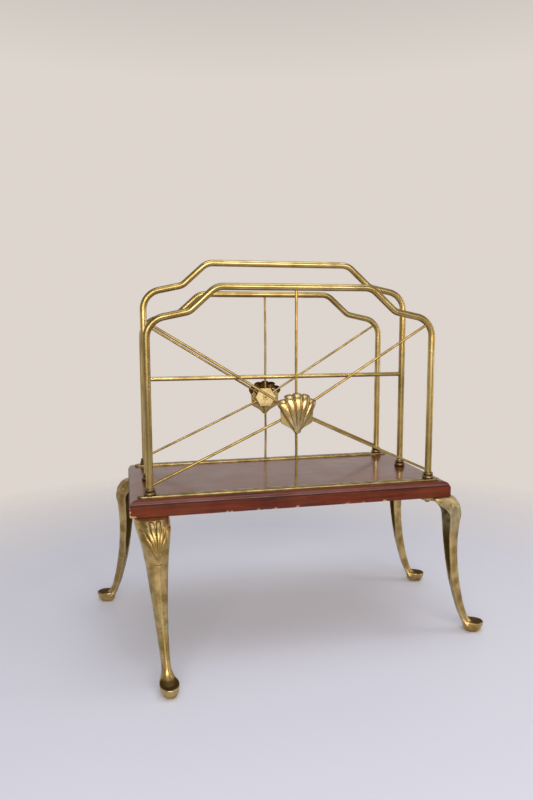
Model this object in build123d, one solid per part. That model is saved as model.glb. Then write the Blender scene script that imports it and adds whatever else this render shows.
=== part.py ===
from build123d import *
import os
from math import cos, radians, sin, sqrt, tan

# Magazine rack: a moulded wooden deck on four cast brass cabriole legs, with three bent brass
# tube hoops standing on it. The front and rear hoops are braced by six wires that meet in a hub
# between a cast scallop shell (outside) and a hexagonal plate (inside).
#
# Millimetres, +Z up, +Y from the front hoop to the rear hoop. The pieces are laid out about the
# middle of the deck with the floor at Z = 0, and are written out with X = Y = 0 moved to the
# middle of the whole rack's bounding box.

# ---------------------------------------------------------------- clearances
SLIP = 0.05      # radial clearance of a post, plug, bolt, rod or wire in its hole
SEAT = 0.02      # gap between two faces that bear on each other

# ---------------------------------------------------------------- deck
DECK_LENGTH = 380.0
DECK_WIDTH = 193.0
FASCIA_HEIGHT = 13.0
STEP_DEPTH = 1.0         # small step above the fascia
STEP_HEIGHT = 0.8
MOULDING_RUN = 8.0       # quarter-round moulding, how far it runs in
MOULDING_RISE = 4.9      # and how far it rises

# ---------------------------------------------------------------- legs
LEG_HEIGHT = 178.0       # floor to underside of the deck
LEG_REACH = 63.7         # bolt axis to the middle of the foot pad
LUG_RADIUS = 9.0
CASTING_WALL = 2.6
CHANNEL_TIP = 1.0        # half-width of the channel at its lower end
PAD_HALF_LENGTH = 13.7
PAD_HALF_WIDTH = 10.5
PAD_HEIGHT = 12.0
PAD_SOLE = 0.62          # sole's size as a share of the pad's rim
PAD_BELLY = 0.9          # and the pad's size part way up, where it is
PAD_BELLY_LEVEL = 0.45   # this share of its height
HEEL_SIZE = 0.7          # end of the shank inside the pad, as shares of the pad's rim
HEEL_LEVEL = 0.4         # and of its height
HEEL_SETBACK = 2.0
ANKLE_HEIGHT = 13.0      # floor to the lowest section of the shank
# Each leg is held by one bolt, in line with a post of the front or rear hoop, and is turned about
# it: its hoop, its side, its bearing (0 is +X, 90 is +Y) and how far it is bent sideways.
LEGS = {
    "leg_front_left": ("front", "left", -84.0, 2.2),
    "leg_front_right": ("front", "right", -6.5, 0.0),
    "leg_rear_left": ("rear", "left", 154.0, 0.0),
    "leg_rear_right": ("rear", "right", -6.5, 0.0),
}
# Sections of the knee: depth below the deck, front crown, back, half-width.
KNEE_SECTIONS = [
    (0.0, 27.0, 3.0, 19.0),
    (4.5, 34.0, 4.5, 19.6),
    (9.5, 37.8, 10.0, 19.0),
    (15.0, 40.0, 18.0, 17.8),
    (23.0, 41.3, 23.5, 16.0),
    (37.0, 40.6, 24.8, 13.7),
]
# Sections of the shank: how far down it is from knee to ankle, front crown, back, half-width.
SHANK_SECTIONS = [
    (0.16, 39.4, 25.7, 11.4),
    (0.35, 40.3, 28.2, 9.3),
    (0.57, 43.6, 32.3, 7.1),
    (0.76, 48.2, 38.4, 5.7),
    (0.90, 53.2, 44.0, 5.1),
    (1.00, 60.5, 50.5, 5.6),
]
FLANGE_THICKNESS = 5.5   # top plate and lug, above the channel
CHANNEL_FIRST = 2        # the channel at the back opens at this section
CHANNEL_LAST = 8         # and runs out at this one
CHANNEL_FLOOR = 1.0      # least depth of the channel

# ---------------------------------------------------------------- hoops
TUBE_DIAMETER = 8.0
TUBE_WALL = 1.0
POST_INSET = 22.9        # end of the deck to the axis of a post
HOOP_INSET = 15.5        # long edge of the deck to the axis of the front or rear hoop
OUTER_HOOP_HEIGHT = 230.5   # deck to the axis of the top rail
MIDDLE_HOOP_HEIGHT = 263.5
STEP_DROP = 27.0         # top rail down to the lower end of the slope
SHOULDER_DROP = 37.0     # top rail down to the corner over the post
SLOPE_FOOT = 47.0        # post axis to the lower end of the slope
SLOPE_HEAD = 77.0        # post axis to the upper end of the slope
SHOULDER_RADIUS = 24.0
DIP_RADIUS = 16.0
CREST_RADIUS = 20.0
CROSS_ROD_DIAMETER = 5.4
CROSS_ROD_HEIGHT = 124.0    # deck to the axis of the rod

# ---------------------------------------------------------------- strips, collars, fixings
STRIP_WIDTH = 12.0
STRIP_THICKNESS = 2.0
STRIP_OVERHANG = 14.0    # strip's end beyond the post axis
COLLAR_LOWER_DIAMETER = 14.0
COLLAR_UPPER_DIAMETER = 12.0
COLLAR_LOWER_HEIGHT = 4.6
COLLAR_UPPER_HEIGHT = 3.4
COLLAR_EDGE = 0.9        # flat ends are this much smaller in radius than the beads
COLLAR_WAIST = 0.8       # radius lost between the beads
PLUG_LENGTH = 8.0        # tapped plug in each end of a tube
BOLT_DIAMETER = 4.0
BOLT_HEAD = 8.0
BOLT_HEAD_HEIGHT = 3.6
BOLT_SHORT = 1.0         # bolt's tip below the top of the plug
BOLT_SLOT_WIDTH = 1.0
BOLT_SLOT_DEPTH = 1.1
COUNTERBORE_DIAMETER = 12.0
COUNTERBORE_DEPTH = 6.0
WASHER_DIAMETER = 10.0
WASHER_THICKNESS = 1.0

# ---------------------------------------------------------------- spokes and hubs
WIRE_DIAMETER = 3.0
WIRE_END = 1.0           # a wire stops this far short of the tube's axis
LOWER_WIRE_HEIGHT = 12.0    # deck to the lower diagonals, at the post axis
HUB_HEIGHT = 89.0        # deck to the hub
HUB_EYE = 4.5            # the wires stop at this radius from the hub's axis
HUB_PLATE_CORNERS = 29.0
HUB_PLATE_THICKNESS = 3.0
HUB_PLATE_BEVEL = 0.5
HUB_BOSS_DIAMETER = 18.0
HUB_GAP = 0.1            # half the gap left between plate and boss
HUB_SCREW_DIAMETER = 3.0
HUB_SCREW_HEAD = 4.6
HUB_SCREW_HEAD_HEIGHT = 1.6
HUB_SCREW_RING = 7.2     # shallow ring sunk round the screw's head
HUB_SCREW_RING_DEPTH = 0.8
HUB_SCREW_LENGTH = 8.0
SHELL_RIM = 2.0          # wire plane to the shell's back edge
SHELL_RISE = 11.0        # shell's back edge to its crown
SHELL_BASE_RADIUS = 27.0
SHELL_WALL = 2.4
SHELL_GROOVE = 1.5
SHELL_HINGE = -20.5      # where the ribs converge, below the hub's axis
SHELL_EARS = [(17.8, -11.6), (8.3, -17.2)]
SHELL_TIP_RADIUS = 4.0
SHELL_LOBES = [(0.0, 43.5, 5.8), (15.0, 42.0, 5.6), (35.0, 36.5, 5.6)]   # bearing, reach, radius

# ---------------------------------------------------------------- derived levels and places
DECK_TOP = LEG_HEIGHT + FASCIA_HEIGHT + STEP_HEIGHT + MOULDING_RISE
POST_X = DECK_LENGTH / 2 - POST_INSET
OUTER_HOOP_Y = DECK_WIDTH / 2 - HOOP_INSET
STRIP_TOP = DECK_TOP + SEAT + STRIP_THICKNESS
HUB_Z = DECK_TOP + HUB_HEIGHT
HOOP_Y = {"front": -OUTER_HOOP_Y, "middle": 0.0, "rear": OUTER_HOOP_Y}
HOOP_TOP = {
    "front": DECK_TOP + OUTER_HOOP_HEIGHT,
    "middle": DECK_TOP + MIDDLE_HOOP_HEIGHT,
    "rear": DECK_TOP + OUTER_HOOP_HEIGHT,
}
SEAT_Z = {"front": STRIP_TOP, "middle": DECK_TOP, "rear": STRIP_TOP}   # what the collars stand on
SIDES = {"left": -1, "right": 1}
KNEE_DEPTH = KNEE_SECTIONS[-1][0]
SHANK_LENGTH = LEG_HEIGHT - ANKLE_HEIGHT - KNEE_DEPTH
LEG_SECTIONS = KNEE_SECTIONS + [
    (KNEE_DEPTH + share * SHANK_LENGTH, crown, back, half_width)
    for share, crown, back, half_width in SHANK_SECTIONS
]


def rod_between(start, end, diameter):
    """Round bar from one point to another."""
    start = Vector(*start)
    end = Vector(*end)
    axis = Plane(origin=start, z_dir=end - start)
    return extrude(axis * Circle(diameter / 2), (end - start).length)


def upright(x, y, z, diameter, height):
    """Round bar standing at a point."""
    return Pos(x, y, z) * Cylinder(diameter / 2, height, align=(Align.CENTER, Align.CENTER, Align.MIN))


# ================================================================ deck
def deck_section(width):
    """Section of the deck: fascia, small step and quarter-round, the same on both edges."""
    half = width / 2
    step = half - STEP_DEPTH
    flat = step - MOULDING_RUN
    spring = FASCIA_HEIGHT + STEP_HEIGHT
    top = spring + MOULDING_RISE
    right = EllipticalCenterArc(
        (flat, spring), MOULDING_RUN, MOULDING_RISE, start_angle=0, arc_size=90
    )
    left = EllipticalCenterArc(
        (-flat, spring), MOULDING_RUN, MOULDING_RISE, start_angle=90, arc_size=90
    )
    across = Line((flat, top), (-flat, top))
    below = Polyline(
        (-step, spring), (-step, FASCIA_HEIGHT), (-half, FASCIA_HEIGHT), (-half, 0),
        (half, 0), (half, FASCIA_HEIGHT), (step, FASCIA_HEIGHT), (step, spring),
    )
    return make_face([*right.edges(), *across.edges(), *left.edges(), *below.edges()])


def make_deck():
    """Deck with its moulding mitred at the corners, drilled for the bolts and the lower wires."""
    along = extrude(Plane.YZ * deck_section(DECK_WIDTH), DECK_LENGTH / 2, both=True)
    across = extrude(Plane.XZ * deck_section(DECK_LENGTH), DECK_WIDTH / 2, both=True)
    deck = Pos(0, 0, LEG_HEIGHT) * (along & across)
    bore = BOLT_DIAMETER + 2 * SLIP
    for hoop, _, x, y, _ in each_post():
        deck -= upright(x, y, LEG_HEIGHT, bore, DECK_TOP - LEG_HEIGHT)
        if hoop == "middle":
            deck -= upright(x, y, LEG_HEIGHT, COUNTERBORE_DIAMETER, COUNTERBORE_DEPTH)
    for y in (HOOP_Y["front"], HOOP_Y["rear"]):
        deck -= upright(0, y, DECK_TOP - WIRE_END, WIRE_DIAMETER + 2 * SLIP, WIRE_END)
    return deck


# ================================================================ legs
def crowned_face(depth, crown, back, half_width, lean):
    """Horizontal section of the leg: flat at the back, round at the front."""
    front = Spline(
        (back, -half_width), (crown, 0), (back, half_width),
        tangents=[(1, 0), (-1, 0)],
    )
    rear = Line((back, half_width), (back, -half_width))
    return leaned(depth, lean) * make_face([*front.edges(), *rear.edges()])


def channel_face(depth, crown, back, half_width, lean):
    """Section of the open channel inside the leg, running out past the back."""
    past = back - LUG_RADIUS
    front = Spline(
        (back, -half_width), (crown, 0), (back, half_width),
        tangents=[(1, 0), (-1, 0)],
    )
    rear = Polyline((back, half_width), (past, half_width), (past, -half_width), (back, -half_width))
    return leaned(depth, lean) * make_face([*front.edges(), *rear.edges()])


def leaned(depth, lean):
    """Place at a depth below the deck on a leg that is bent sideways by an angle."""
    return Pos(0, depth * tan(radians(lean)), -depth)


def leg_channel(lean):
    """Solid that is taken out of the back of the leg, from under the flange to its lower end."""
    _, crown, back, half_width = LEG_SECTIONS[CHANNEL_FIRST - 1]
    sections = [(FLANGE_THICKNESS, crown, back, half_width)]
    sections += LEG_SECTIONS[CHANNEL_FIRST:CHANNEL_LAST + 1]
    faces = []
    for depth, crown, back, half_width in sections:
        wall = CASTING_WALL
        if depth == sections[-1][0]:
            wall = half_width - CHANNEL_TIP
        inner_crown = max(crown - wall, back + CHANNEL_FLOOR)
        faces.append(channel_face(depth, inner_crown, back, half_width - wall, lean))
    return loft(faces)


def pad_outline(size):
    """Outline of the foot pad at a share of its rim."""
    return Ellipse(PAD_HALF_LENGTH * size, PAD_HALF_WIDTH * size)


def make_foot(lean):
    """Foot pad, widest at its rim, and the end of the shank running down into it."""
    sole = leaned(LEG_HEIGHT - SEAT, lean) * Pos(LEG_REACH, 0)
    pad = loft([
        sole * pad_outline(PAD_SOLE),
        sole * Pos(0, 0, PAD_HEIGHT * PAD_BELLY_LEVEL) * pad_outline(PAD_BELLY),
        sole * Pos(0, 0, PAD_HEIGHT) * pad_outline(1.0),
    ])
    heel = loft([
        crowned_face(*LEG_SECTIONS[-1], lean),
        sole * Pos(-HEEL_SETBACK, 0, PAD_HEIGHT * HEEL_LEVEL) * pad_outline(HEEL_SIZE),
    ])
    return pad + heel


def make_leg(lean):
    """One leg about its bolt's axis, bearing along +X, with the deck's underside at Z = 0."""
    body = loft([crowned_face(*section, lean) for section in LEG_SECTIONS]) + make_foot(lean)
    _, _, back, half_width = LEG_SECTIONS[0]
    neck = Pos(back + LUG_RADIUS, 0) * Ellipse(LUG_RADIUS, half_width - LUG_RADIUS / 2)
    flange = make_hull(neck.edges() + Circle(LUG_RADIUS).edges())
    body += Pos(0, 0, -FLANGE_THICKNESS) * extrude(flange, FLANGE_THICKNESS)
    body -= leg_channel(lean)
    body -= upright(0, 0, -FLANGE_THICKNESS, BOLT_DIAMETER + 2 * SLIP, FLANGE_THICKNESS)
    return Pos(0, 0, -SEAT) * body


# ================================================================ hoops
def hoop_path(name):
    """Centreline of a hoop, from the foot of its left post over to the foot of its right post."""
    y = HOOP_Y[name]
    top = HOOP_TOP[name]
    foot = SEAT_Z[name] + SEAT
    half = [
        (POST_X, foot, 0.0),
        (POST_X, top - SHOULDER_DROP, SHOULDER_RADIUS),
        (POST_X - SLOPE_FOOT, top - STEP_DROP, DIP_RADIUS),
        (POST_X - SLOPE_HEAD, top, CREST_RADIUS),
    ]
    corners = [(-x, z, radius) for x, z, radius in half] + half[::-1]
    points = [(x, y, z) for x, z, _ in corners]
    radii = [radius for _, _, radius in corners[1:-1]]
    return FilletPolyline(*points, radius=radii)


def shoulder_point(name, side):
    """Middle of the arc over a post, on the tube's centreline."""
    edges = hoop_path(name).edges().sort_by(Axis.X)
    arcs = [edge for edge in edges if edge.geom_type == GeomType.CIRCLE]
    arc = arcs[0] if side < 0 else arcs[-1]
    return arc.position_at(0.5)


def make_hoop(name):
    """Bent tube, drilled for what enters it."""
    path = hoop_path(name)
    start = Plane(origin=path @ 0, z_dir=path % 0)
    outside = sweep(start * Circle(TUBE_DIAMETER / 2), path)
    inside = sweep(start * Circle(TUBE_DIAMETER / 2 - TUBE_WALL), path)
    hoop = outside - inside
    if name == "middle":
        for side in SIDES.values():
            inner, tip = cross_rod_end(side)
            hoop -= rod_between(inner, tip, CROSS_ROD_DIAMETER + 2 * SLIP)
        return hoop
    for start_point, end_point in spokes(name).values():
        if end_point[2] > STRIP_TOP:
            outward = (Vector(*end_point) - Vector(*start_point)).normalized()
            back = Vector(*end_point) - outward * TUBE_DIAMETER
            hoop -= rod_between(back, end_point, WIRE_DIAMETER + 2 * SLIP)
    return hoop


def cross_rod_end(side):
    """A point inside the hoop and the tip of the middle hoop's rod, at one post."""
    z = DECK_TOP + CROSS_ROD_HEIGHT
    tip = side * (POST_X - WIRE_END)
    return (side * (POST_X - TUBE_DIAMETER), 0, z), (tip, 0, z)


def make_cross_rod():
    """Rod across the middle hoop, let into both posts."""
    _, left = cross_rod_end(-1)
    _, right = cross_rod_end(1)
    return rod_between(left, right, CROSS_ROD_DIAMETER)


# ================================================================ strips, collars, fixings
def make_strip(y):
    """Flat strip with round ends under a hoop, drilled for its bolts and its lower wire."""
    length = 2 * (POST_X + STRIP_OVERHANG)
    outline = SlotOverall(length, STRIP_WIDTH)
    for side in SIDES.values():
        outline -= Pos(side * POST_X, 0) * Circle(BOLT_DIAMETER / 2 + SLIP)
    outline -= Circle(WIRE_DIAMETER / 2 + SLIP)
    return Pos(0, y, DECK_TOP + SEAT) * extrude(outline, STRIP_THICKNESS)


def make_collar(x, y, z):
    """Turned collar of two beads round the foot of a post."""
    bore = TUBE_DIAMETER / 2 + SLIP
    lower = COLLAR_LOWER_DIAMETER / 2
    upper = COLLAR_UPPER_DIAMETER / 2
    height = COLLAR_LOWER_HEIGHT + COLLAR_UPPER_HEIGHT
    foot = (lower - COLLAR_EDGE, 0)
    waist = (upper - COLLAR_WAIST, COLLAR_LOWER_HEIGHT)
    head = (upper - COLLAR_EDGE, height)
    outline = [
        Line((bore, 0), foot),
        ThreePointArc(foot, (lower, COLLAR_LOWER_HEIGHT / 2), waist),
        ThreePointArc(waist, (upper, COLLAR_LOWER_HEIGHT + COLLAR_UPPER_HEIGHT / 2), head),
        Line(head, (bore, height)),
        Line((bore, height), (bore, 0)),
    ]
    section = make_face([edge for line in outline for edge in line.edges()])
    return Pos(x, y, z + SEAT) * revolve(Plane.XZ * section, Axis.Z)


def make_plug(x, y, seat):
    """Tapped plug soldered in the end of a tube."""
    ring = Circle(TUBE_DIAMETER / 2 - TUBE_WALL - SLIP) - Circle(BOLT_DIAMETER / 2 + SLIP)
    return Pos(x, y, seat + SEAT) * extrude(ring, PLUG_LENGTH)


def bolt_seat(hoop):
    """Level that the head of a post's bolt bears on: under a leg's lug, or under a washer."""
    if hoop == "middle":
        return LEG_HEIGHT + COUNTERBORE_DEPTH - 2 * SEAT - WASHER_THICKNESS
    return LEG_HEIGHT - FLANGE_THICKNESS - SEAT


def make_bolt(hoop, x, y, seat):
    """Round-headed slotted bolt from below, up into the plug of a post."""
    bearing = bolt_seat(hoop)
    tip = seat + SEAT + PLUG_LENGTH - BOLT_SHORT
    rise = BOLT_HEAD_HEIGHT
    ball = (BOLT_HEAD ** 2 / 4 + rise ** 2) / (2 * rise)
    head = Pos(x, y, bearing - rise + ball) * Sphere(ball)
    head &= upright(x, y, bearing - rise, BOLT_HEAD, rise)
    slot = Pos(x, y, bearing - rise) * Box(BOLT_HEAD, BOLT_SLOT_WIDTH, 2 * BOLT_SLOT_DEPTH)
    return head + upright(x, y, bearing, BOLT_DIAMETER, tip - bearing) - slot


def make_washer(x, y):
    """Washer in the top of a counterbore."""
    ring = Circle(WASHER_DIAMETER / 2) - Circle(BOLT_DIAMETER / 2 + SLIP)
    z = LEG_HEIGHT + COUNTERBORE_DEPTH - SEAT - WASHER_THICKNESS
    return Pos(x, y, z) * extrude(ring, WASHER_THICKNESS)


def each_post():
    """Every post's hoop, side, axis and the level that its collar stands on."""
    for hoop, y in HOOP_Y.items():
        for side, sign in SIDES.items():
            yield hoop, side, sign * POST_X, y, SEAT_Z[hoop]


# ================================================================ spokes and hubs
def spokes(name):
    """Start at the hub and end in the tube or the strip, for each wire of a hoop."""
    y = HOOP_Y[name]
    hub = Vector(0, y, HUB_Z)
    targets = {
        "top": (Vector(0, y, HOOP_TOP[name]), WIRE_END),
        "bottom": (Vector(0, y, DECK_TOP), 0.0),
    }
    for side, sign in SIDES.items():
        targets["upper_" + side] = (shoulder_point(name, sign), WIRE_END)
        targets["lower_" + side] = (
            Vector(sign * POST_X, y, DECK_TOP + LOWER_WIRE_HEIGHT), WIRE_END,
        )
    wires = {}
    for wire, (target, short) in targets.items():
        outward = (target - hub).normalized()
        wires[wire] = (tuple(hub + outward * HUB_EYE), tuple(target - outward * short))
    return wires


def on_hub(name, shape):
    """Places a hub piece, made with +Z away from the magazines and +Y up, on a hoop."""
    outward = -1 if name == "front" else 1
    place = Plane(
        origin=(0, HOOP_Y[name], HUB_Z), x_dir=(-outward, 0, 0), z_dir=(0, outward, 0)
    )
    return place * shape


def wire_grooves(name):
    """Half-round seats for the wires, as bars that are cut from plate and boss."""
    bars = []
    for start, end in spokes(name).values():
        middle = Vector(*start) + (Vector(*end) - Vector(*start)).normalized() * SHELL_BASE_RADIUS
        bars.append(rod_between(start, middle, WIRE_DIAMETER + 2 * SLIP))
    return bars


def make_hub_plate(name):
    """Hexagonal plate on the inner side of the wires, with a ring sunk round its screw."""
    outline = RegularPolygon(HUB_PLATE_CORNERS / 2, 6)
    outline -= Circle(HUB_SCREW_DIAMETER / 2 + SLIP)
    plate = Pos(0, 0, -HUB_GAP - HUB_PLATE_THICKNESS) * extrude(outline, HUB_PLATE_THICKNESS)
    plate = chamfer(plate.faces().sort_by(Axis.Z)[0].outer_wire().edges(), HUB_PLATE_BEVEL)
    ring = Pos(0, 0, -HUB_GAP - HUB_PLATE_THICKNESS) * extrude(
        Circle(HUB_SCREW_RING / 2), HUB_SCREW_RING_DEPTH
    )
    plate = on_hub(name, plate - ring)
    for bar in wire_grooves(name):
        plate -= bar
    return plate


def shell_outline():
    """Outline of the scallop shell: lobed above, two straight ears below, a narrow tip."""
    corners = [(0.0, SHELL_HINGE - SHELL_TIP_RADIUS / 2), SHELL_EARS[1], SHELL_EARS[0]]
    lobe_centres = []
    for bearing, reach, radius in SHELL_LOBES:
        x = (reach - radius) * sin(radians(bearing))
        y = SHELL_HINGE + (reach - radius) * cos(radians(bearing))
        lobe_centres.append((x, y, radius))
    right = corners + [(x, y) for x, y, _ in reversed(lobe_centres)]
    left = [(-x, y) for x, y in reversed(right)][1:-1]
    outline = make_face(Polyline(*right, *left, close=True))
    outline += Pos(0, SHELL_HINGE) * Circle(SHELL_TIP_RADIUS)
    for x, y, radius in lobe_centres:
        for sign in (-1, 1):
            outline += Pos(sign * x, y) * Circle(radius)
    return outline


def make_shell(name):
    """Cast scallop shell on the outer side of the wires: ribbed dome, ears and threaded boss."""
    ball = (SHELL_BASE_RADIUS ** 2 + SHELL_RISE ** 2) / (2 * SHELL_RISE)
    centre = Pos(0, 0, SHELL_RIM + SHELL_RISE - ball)
    outline = shell_outline()
    block = Pos(0, 0, SHELL_RIM) * extrude(outline, SHELL_RISE + SHELL_GROOVE)
    dome = block & (centre * Sphere(ball))
    dome -= centre * Sphere(ball - SHELL_WALL)
    dome += block & (Pos(0, 0, SHELL_RIM) * ears_plate())
    for bearing in groove_bearings():
        dome -= shell_groove(bearing, ball)
    boss = Pos(0, 0, HUB_GAP) * extrude(
        Circle(HUB_BOSS_DIAMETER / 2), SHELL_RIM + SHELL_RISE - SHELL_WALL / 2 - HUB_GAP
    )
    boss &= centre * Sphere(ball - SHELL_WALL / 2)
    shell = dome + boss
    shell -= Pos(0, 0, HUB_GAP) * extrude(Circle(HUB_SCREW_DIAMETER / 2 + SLIP), HUB_SCREW_LENGTH)
    shell = on_hub(name, shell)
    for bar in wire_grooves(name):
        shell -= bar
    return shell


def ears_plate():
    """Flat plate that joins the ears and the tip behind the dome."""
    reach = SHELL_BASE_RADIUS + SHELL_WALL
    lower = Pos(0, SHELL_HINGE) * Rectangle(2 * reach, reach)
    lower -= Circle(HUB_BOSS_DIAMETER / 2 + SHELL_WALL)
    return extrude(lower, SHELL_WALL)


def groove_bearings():
    """Bearings of the grooves, midway between the ribs."""
    bearings = [lobe[0] for lobe in SHELL_LOBES]
    middles = [(a + b) / 2 for a, b in zip(bearings, bearings[1:])]
    return [-bearing for bearing in middles] + middles


def shell_groove(bearing, ball):
    """Ring cut along the dome, in the plane through the hinge point at a bearing."""
    direction = Vector(sin(radians(bearing)), cos(radians(bearing)), 0)
    normal = direction.cross(Vector(0, 0, 1))
    hinge = Vector(0, SHELL_HINGE, 0)
    middle = Vector(0, 0, SHELL_RIM + SHELL_RISE - ball)
    offset = normal.dot(hinge - middle)
    radius = sqrt(ball ** 2 - offset ** 2)
    return Plane(origin=middle + normal * offset, z_dir=normal) * Torus(radius, SHELL_GROOVE)


def make_hub_screw(name):
    """Round-headed screw through the hexagonal plate into the shell's boss."""
    face = -HUB_GAP - HUB_PLATE_THICKNESS + HUB_SCREW_RING_DEPTH
    rise = HUB_SCREW_HEAD_HEIGHT
    ball = (HUB_SCREW_HEAD ** 2 / 4 + rise ** 2) / (2 * rise)
    head = Pos(0, 0, face - SEAT - rise + ball) * Sphere(ball)
    head &= Pos(0, 0, face - SEAT - rise) * extrude(Circle(HUB_SCREW_HEAD / 2), rise)
    tip = HUB_GAP + HUB_SCREW_LENGTH - SHELL_WALL
    shank = Pos(0, 0, face - SEAT) * extrude(Circle(HUB_SCREW_DIAMETER / 2), tip - face + SEAT)
    return on_hub(name, head + shank)


# ================================================================ assembly
def build():
    """Every node of the rack, by name, laid out about the middle of the deck."""
    nodes = {"base_board": make_deck()}
    for name, (hoop, side, bearing, lean) in LEGS.items():
        place = Pos(SIDES[side] * POST_X, HOOP_Y[hoop], LEG_HEIGHT) * Rot(0, 0, bearing)
        nodes[name] = place * make_leg(lean)
    for hoop in HOOP_Y:
        nodes[hoop + "_hoop"] = make_hoop(hoop)
    nodes["middle_cross_rod"] = make_cross_rod()
    for hoop, side, x, y, seat in each_post():
        nodes[f"collar_{hoop}_{side}"] = make_collar(x, y, seat)
    posts = list(each_post())
    nodes["hoop_plugs"] = Compound([make_plug(x, y, seat) for _, _, x, y, seat in posts])
    bolts = {"leg_bolts": [], "middle_bolts": []}
    for hoop, _, x, y, seat in posts:
        group = "middle_bolts" if hoop == "middle" else "leg_bolts"
        bolts[group].append(make_bolt(hoop, x, y, seat))
    for group, solids in bolts.items():
        nodes[group] = Compound(solids)
    washers = [make_washer(x, y) for hoop, _, x, y, _ in posts if hoop == "middle"]
    nodes["middle_washers"] = Compound(washers)
    for hoop in ("front", "rear"):
        nodes[hoop + "_base_strip"] = make_strip(HOOP_Y[hoop])
        for wire, (start, end) in spokes(hoop).items():
            nodes[f"{hoop}_spoke_{wire}"] = rod_between(start, end, WIRE_DIAMETER)
        nodes[hoop + "_shell"] = make_shell(hoop)
        nodes[hoop + "_hub_plate"] = make_hub_plate(hoop)
        nodes[hoop + "_hub_screw"] = make_hub_screw(hoop)
    return nodes


def write(nodes):
    """Writes one STEP per node, with X = Y = 0 in the middle of the whole rack."""
    os.makedirs("parts", exist_ok=True)
    box = Compound(list(nodes.values())).bounding_box()
    middle = Pos(-(box.min.X + box.max.X) / 2, -(box.min.Y + box.max.Y) / 2, 0)
    for name, shape in nodes.items():
        export_step(middle * shape, f"parts/{name}.step")
    print("deck centre at", middle.position, "overall", box.size)


write(build())
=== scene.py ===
import math

import bmesh
import bpy
from mathutils import Matrix, Vector, noise


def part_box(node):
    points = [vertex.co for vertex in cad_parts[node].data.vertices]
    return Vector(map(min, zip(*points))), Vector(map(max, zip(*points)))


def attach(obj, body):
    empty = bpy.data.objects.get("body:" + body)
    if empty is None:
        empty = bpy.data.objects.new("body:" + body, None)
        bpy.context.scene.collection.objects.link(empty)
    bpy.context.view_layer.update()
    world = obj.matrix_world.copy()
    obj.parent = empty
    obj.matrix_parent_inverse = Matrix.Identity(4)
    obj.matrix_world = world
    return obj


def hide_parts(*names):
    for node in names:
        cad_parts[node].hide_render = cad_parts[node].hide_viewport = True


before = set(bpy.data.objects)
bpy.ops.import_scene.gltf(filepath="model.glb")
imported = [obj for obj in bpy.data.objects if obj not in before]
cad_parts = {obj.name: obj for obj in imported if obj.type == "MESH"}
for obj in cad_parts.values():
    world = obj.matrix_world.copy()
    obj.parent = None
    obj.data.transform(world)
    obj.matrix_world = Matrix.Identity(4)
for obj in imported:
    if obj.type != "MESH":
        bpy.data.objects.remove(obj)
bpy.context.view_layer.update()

# Brass and wood magazine rack. Shapes are worked out in millimetres, with their places read from
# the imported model, and every mesh is written in metres.
MM = 0.001


# ---------------------------------------------------------------- places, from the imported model
def box_mm(node):
    """Lowest and highest corner of a CAD node, in millimetres."""
    low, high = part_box(node)
    return low / MM, high / MM


def middle_mm(node):
    """Middle of a CAD node's box, in millimetres."""
    low, high = box_mm(node)
    return (low + high) / 2


def radius_mm(node):
    """Radius of a tube or wire that lies in a plane of constant Y."""
    low, high = box_mm(node)
    return (high.y - low.y) / 2


deck_low, deck_high = box_mm("base_board")
DECK = middle_mm("base_board")
UNDER = deck_low.z                       # underside of the deck, where the legs' flanges are
TOP = deck_high.z
HOOPS = ("front", "middle", "rear")
SIDES = {"left": -1, "right": 1}
POSTS = {(hoop, side): middle_mm(f"collar_{hoop}_{side}") for hoop in HOOPS for side in SIDES}
POST_REACH = (POSTS["front", "right"].x - POSTS["front", "left"].x) / 2
HUBS = {hoop: middle_mm(f"{hoop}_hub_screw") for hoop in ("front", "rear")}
TUBE = radius_mm("front_hoop")           # outside of the hoops' tube
WIRE = radius_mm("front_spoke_top")
ROD = radius_mm("middle_cross_rod")
SLIP = 0.05                              # radial clearance of a bolt, screw or wire in its hole
BOLT_SHANK = 2.0
SCREW_SHANK = 1.5                        # screw at the middle of each hub
RAIL = {hoop: box_mm(f"{hoop}_hoop")[1].z - TUBE for hoop in HOOPS}     # axis of the top rail
FOOT = {hoop: box_mm(f"{hoop}_hoop")[0].z for hoop in HOOPS}            # lower end of the posts


# ---------------------------------------------------------------- mesh helpers
def new_object(name, points, faces, edges=()):
    """Mesh object from points in millimetres."""
    mesh = bpy.data.meshes.new(name)
    mesh.from_pydata([[c * MM for c in p] for p in points], list(edges), faces)
    obj = bpy.data.objects.new(name, mesh)
    bpy.context.scene.collection.objects.link(obj)
    return obj


def point_outwards(mesh):
    """Merges doubles and turns every face outwards."""
    form = bmesh.new()
    form.from_mesh(mesh)
    bmesh.ops.remove_doubles(form, verts=form.verts, dist=1e-7)
    bmesh.ops.recalc_face_normals(form, faces=form.faces)
    form.to_mesh(mesh)
    form.free()


def turns_of(count):
    """Angles evenly round a circle."""
    return [2 * math.pi * i / count for i in range(count)]


def loft(name, rings):
    """Closed solid through rings of points, capped at both ends."""
    count = len(rings[0])
    points = [p for ring in rings for p in ring]
    faces = []
    for r in range(len(rings) - 1):
        for i in range(count):
            j = (i + 1) % count
            a, b = r * count, (r + 1) * count
            faces.append((a + i, a + j, b + j, b + i))
    last = (len(rings) - 1) * count
    faces += [tuple(reversed(range(count))), tuple(range(last, last + count))]
    obj = new_object(name, points, faces)
    point_outwards(obj.data)
    return obj


def settle(obj):
    """Turns an object's modifiers into plain mesh."""
    graph = bpy.context.evaluated_depsgraph_get()
    mesh = bpy.data.meshes.new_from_object(obj.evaluated_get(graph), depsgraph=graph)
    settled = bpy.data.objects.new(obj.name + "_settled", mesh)
    bpy.context.scene.collection.objects.link(settled)
    name = obj.name
    bpy.data.objects.remove(obj)
    settled.name = name
    return settled


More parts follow.
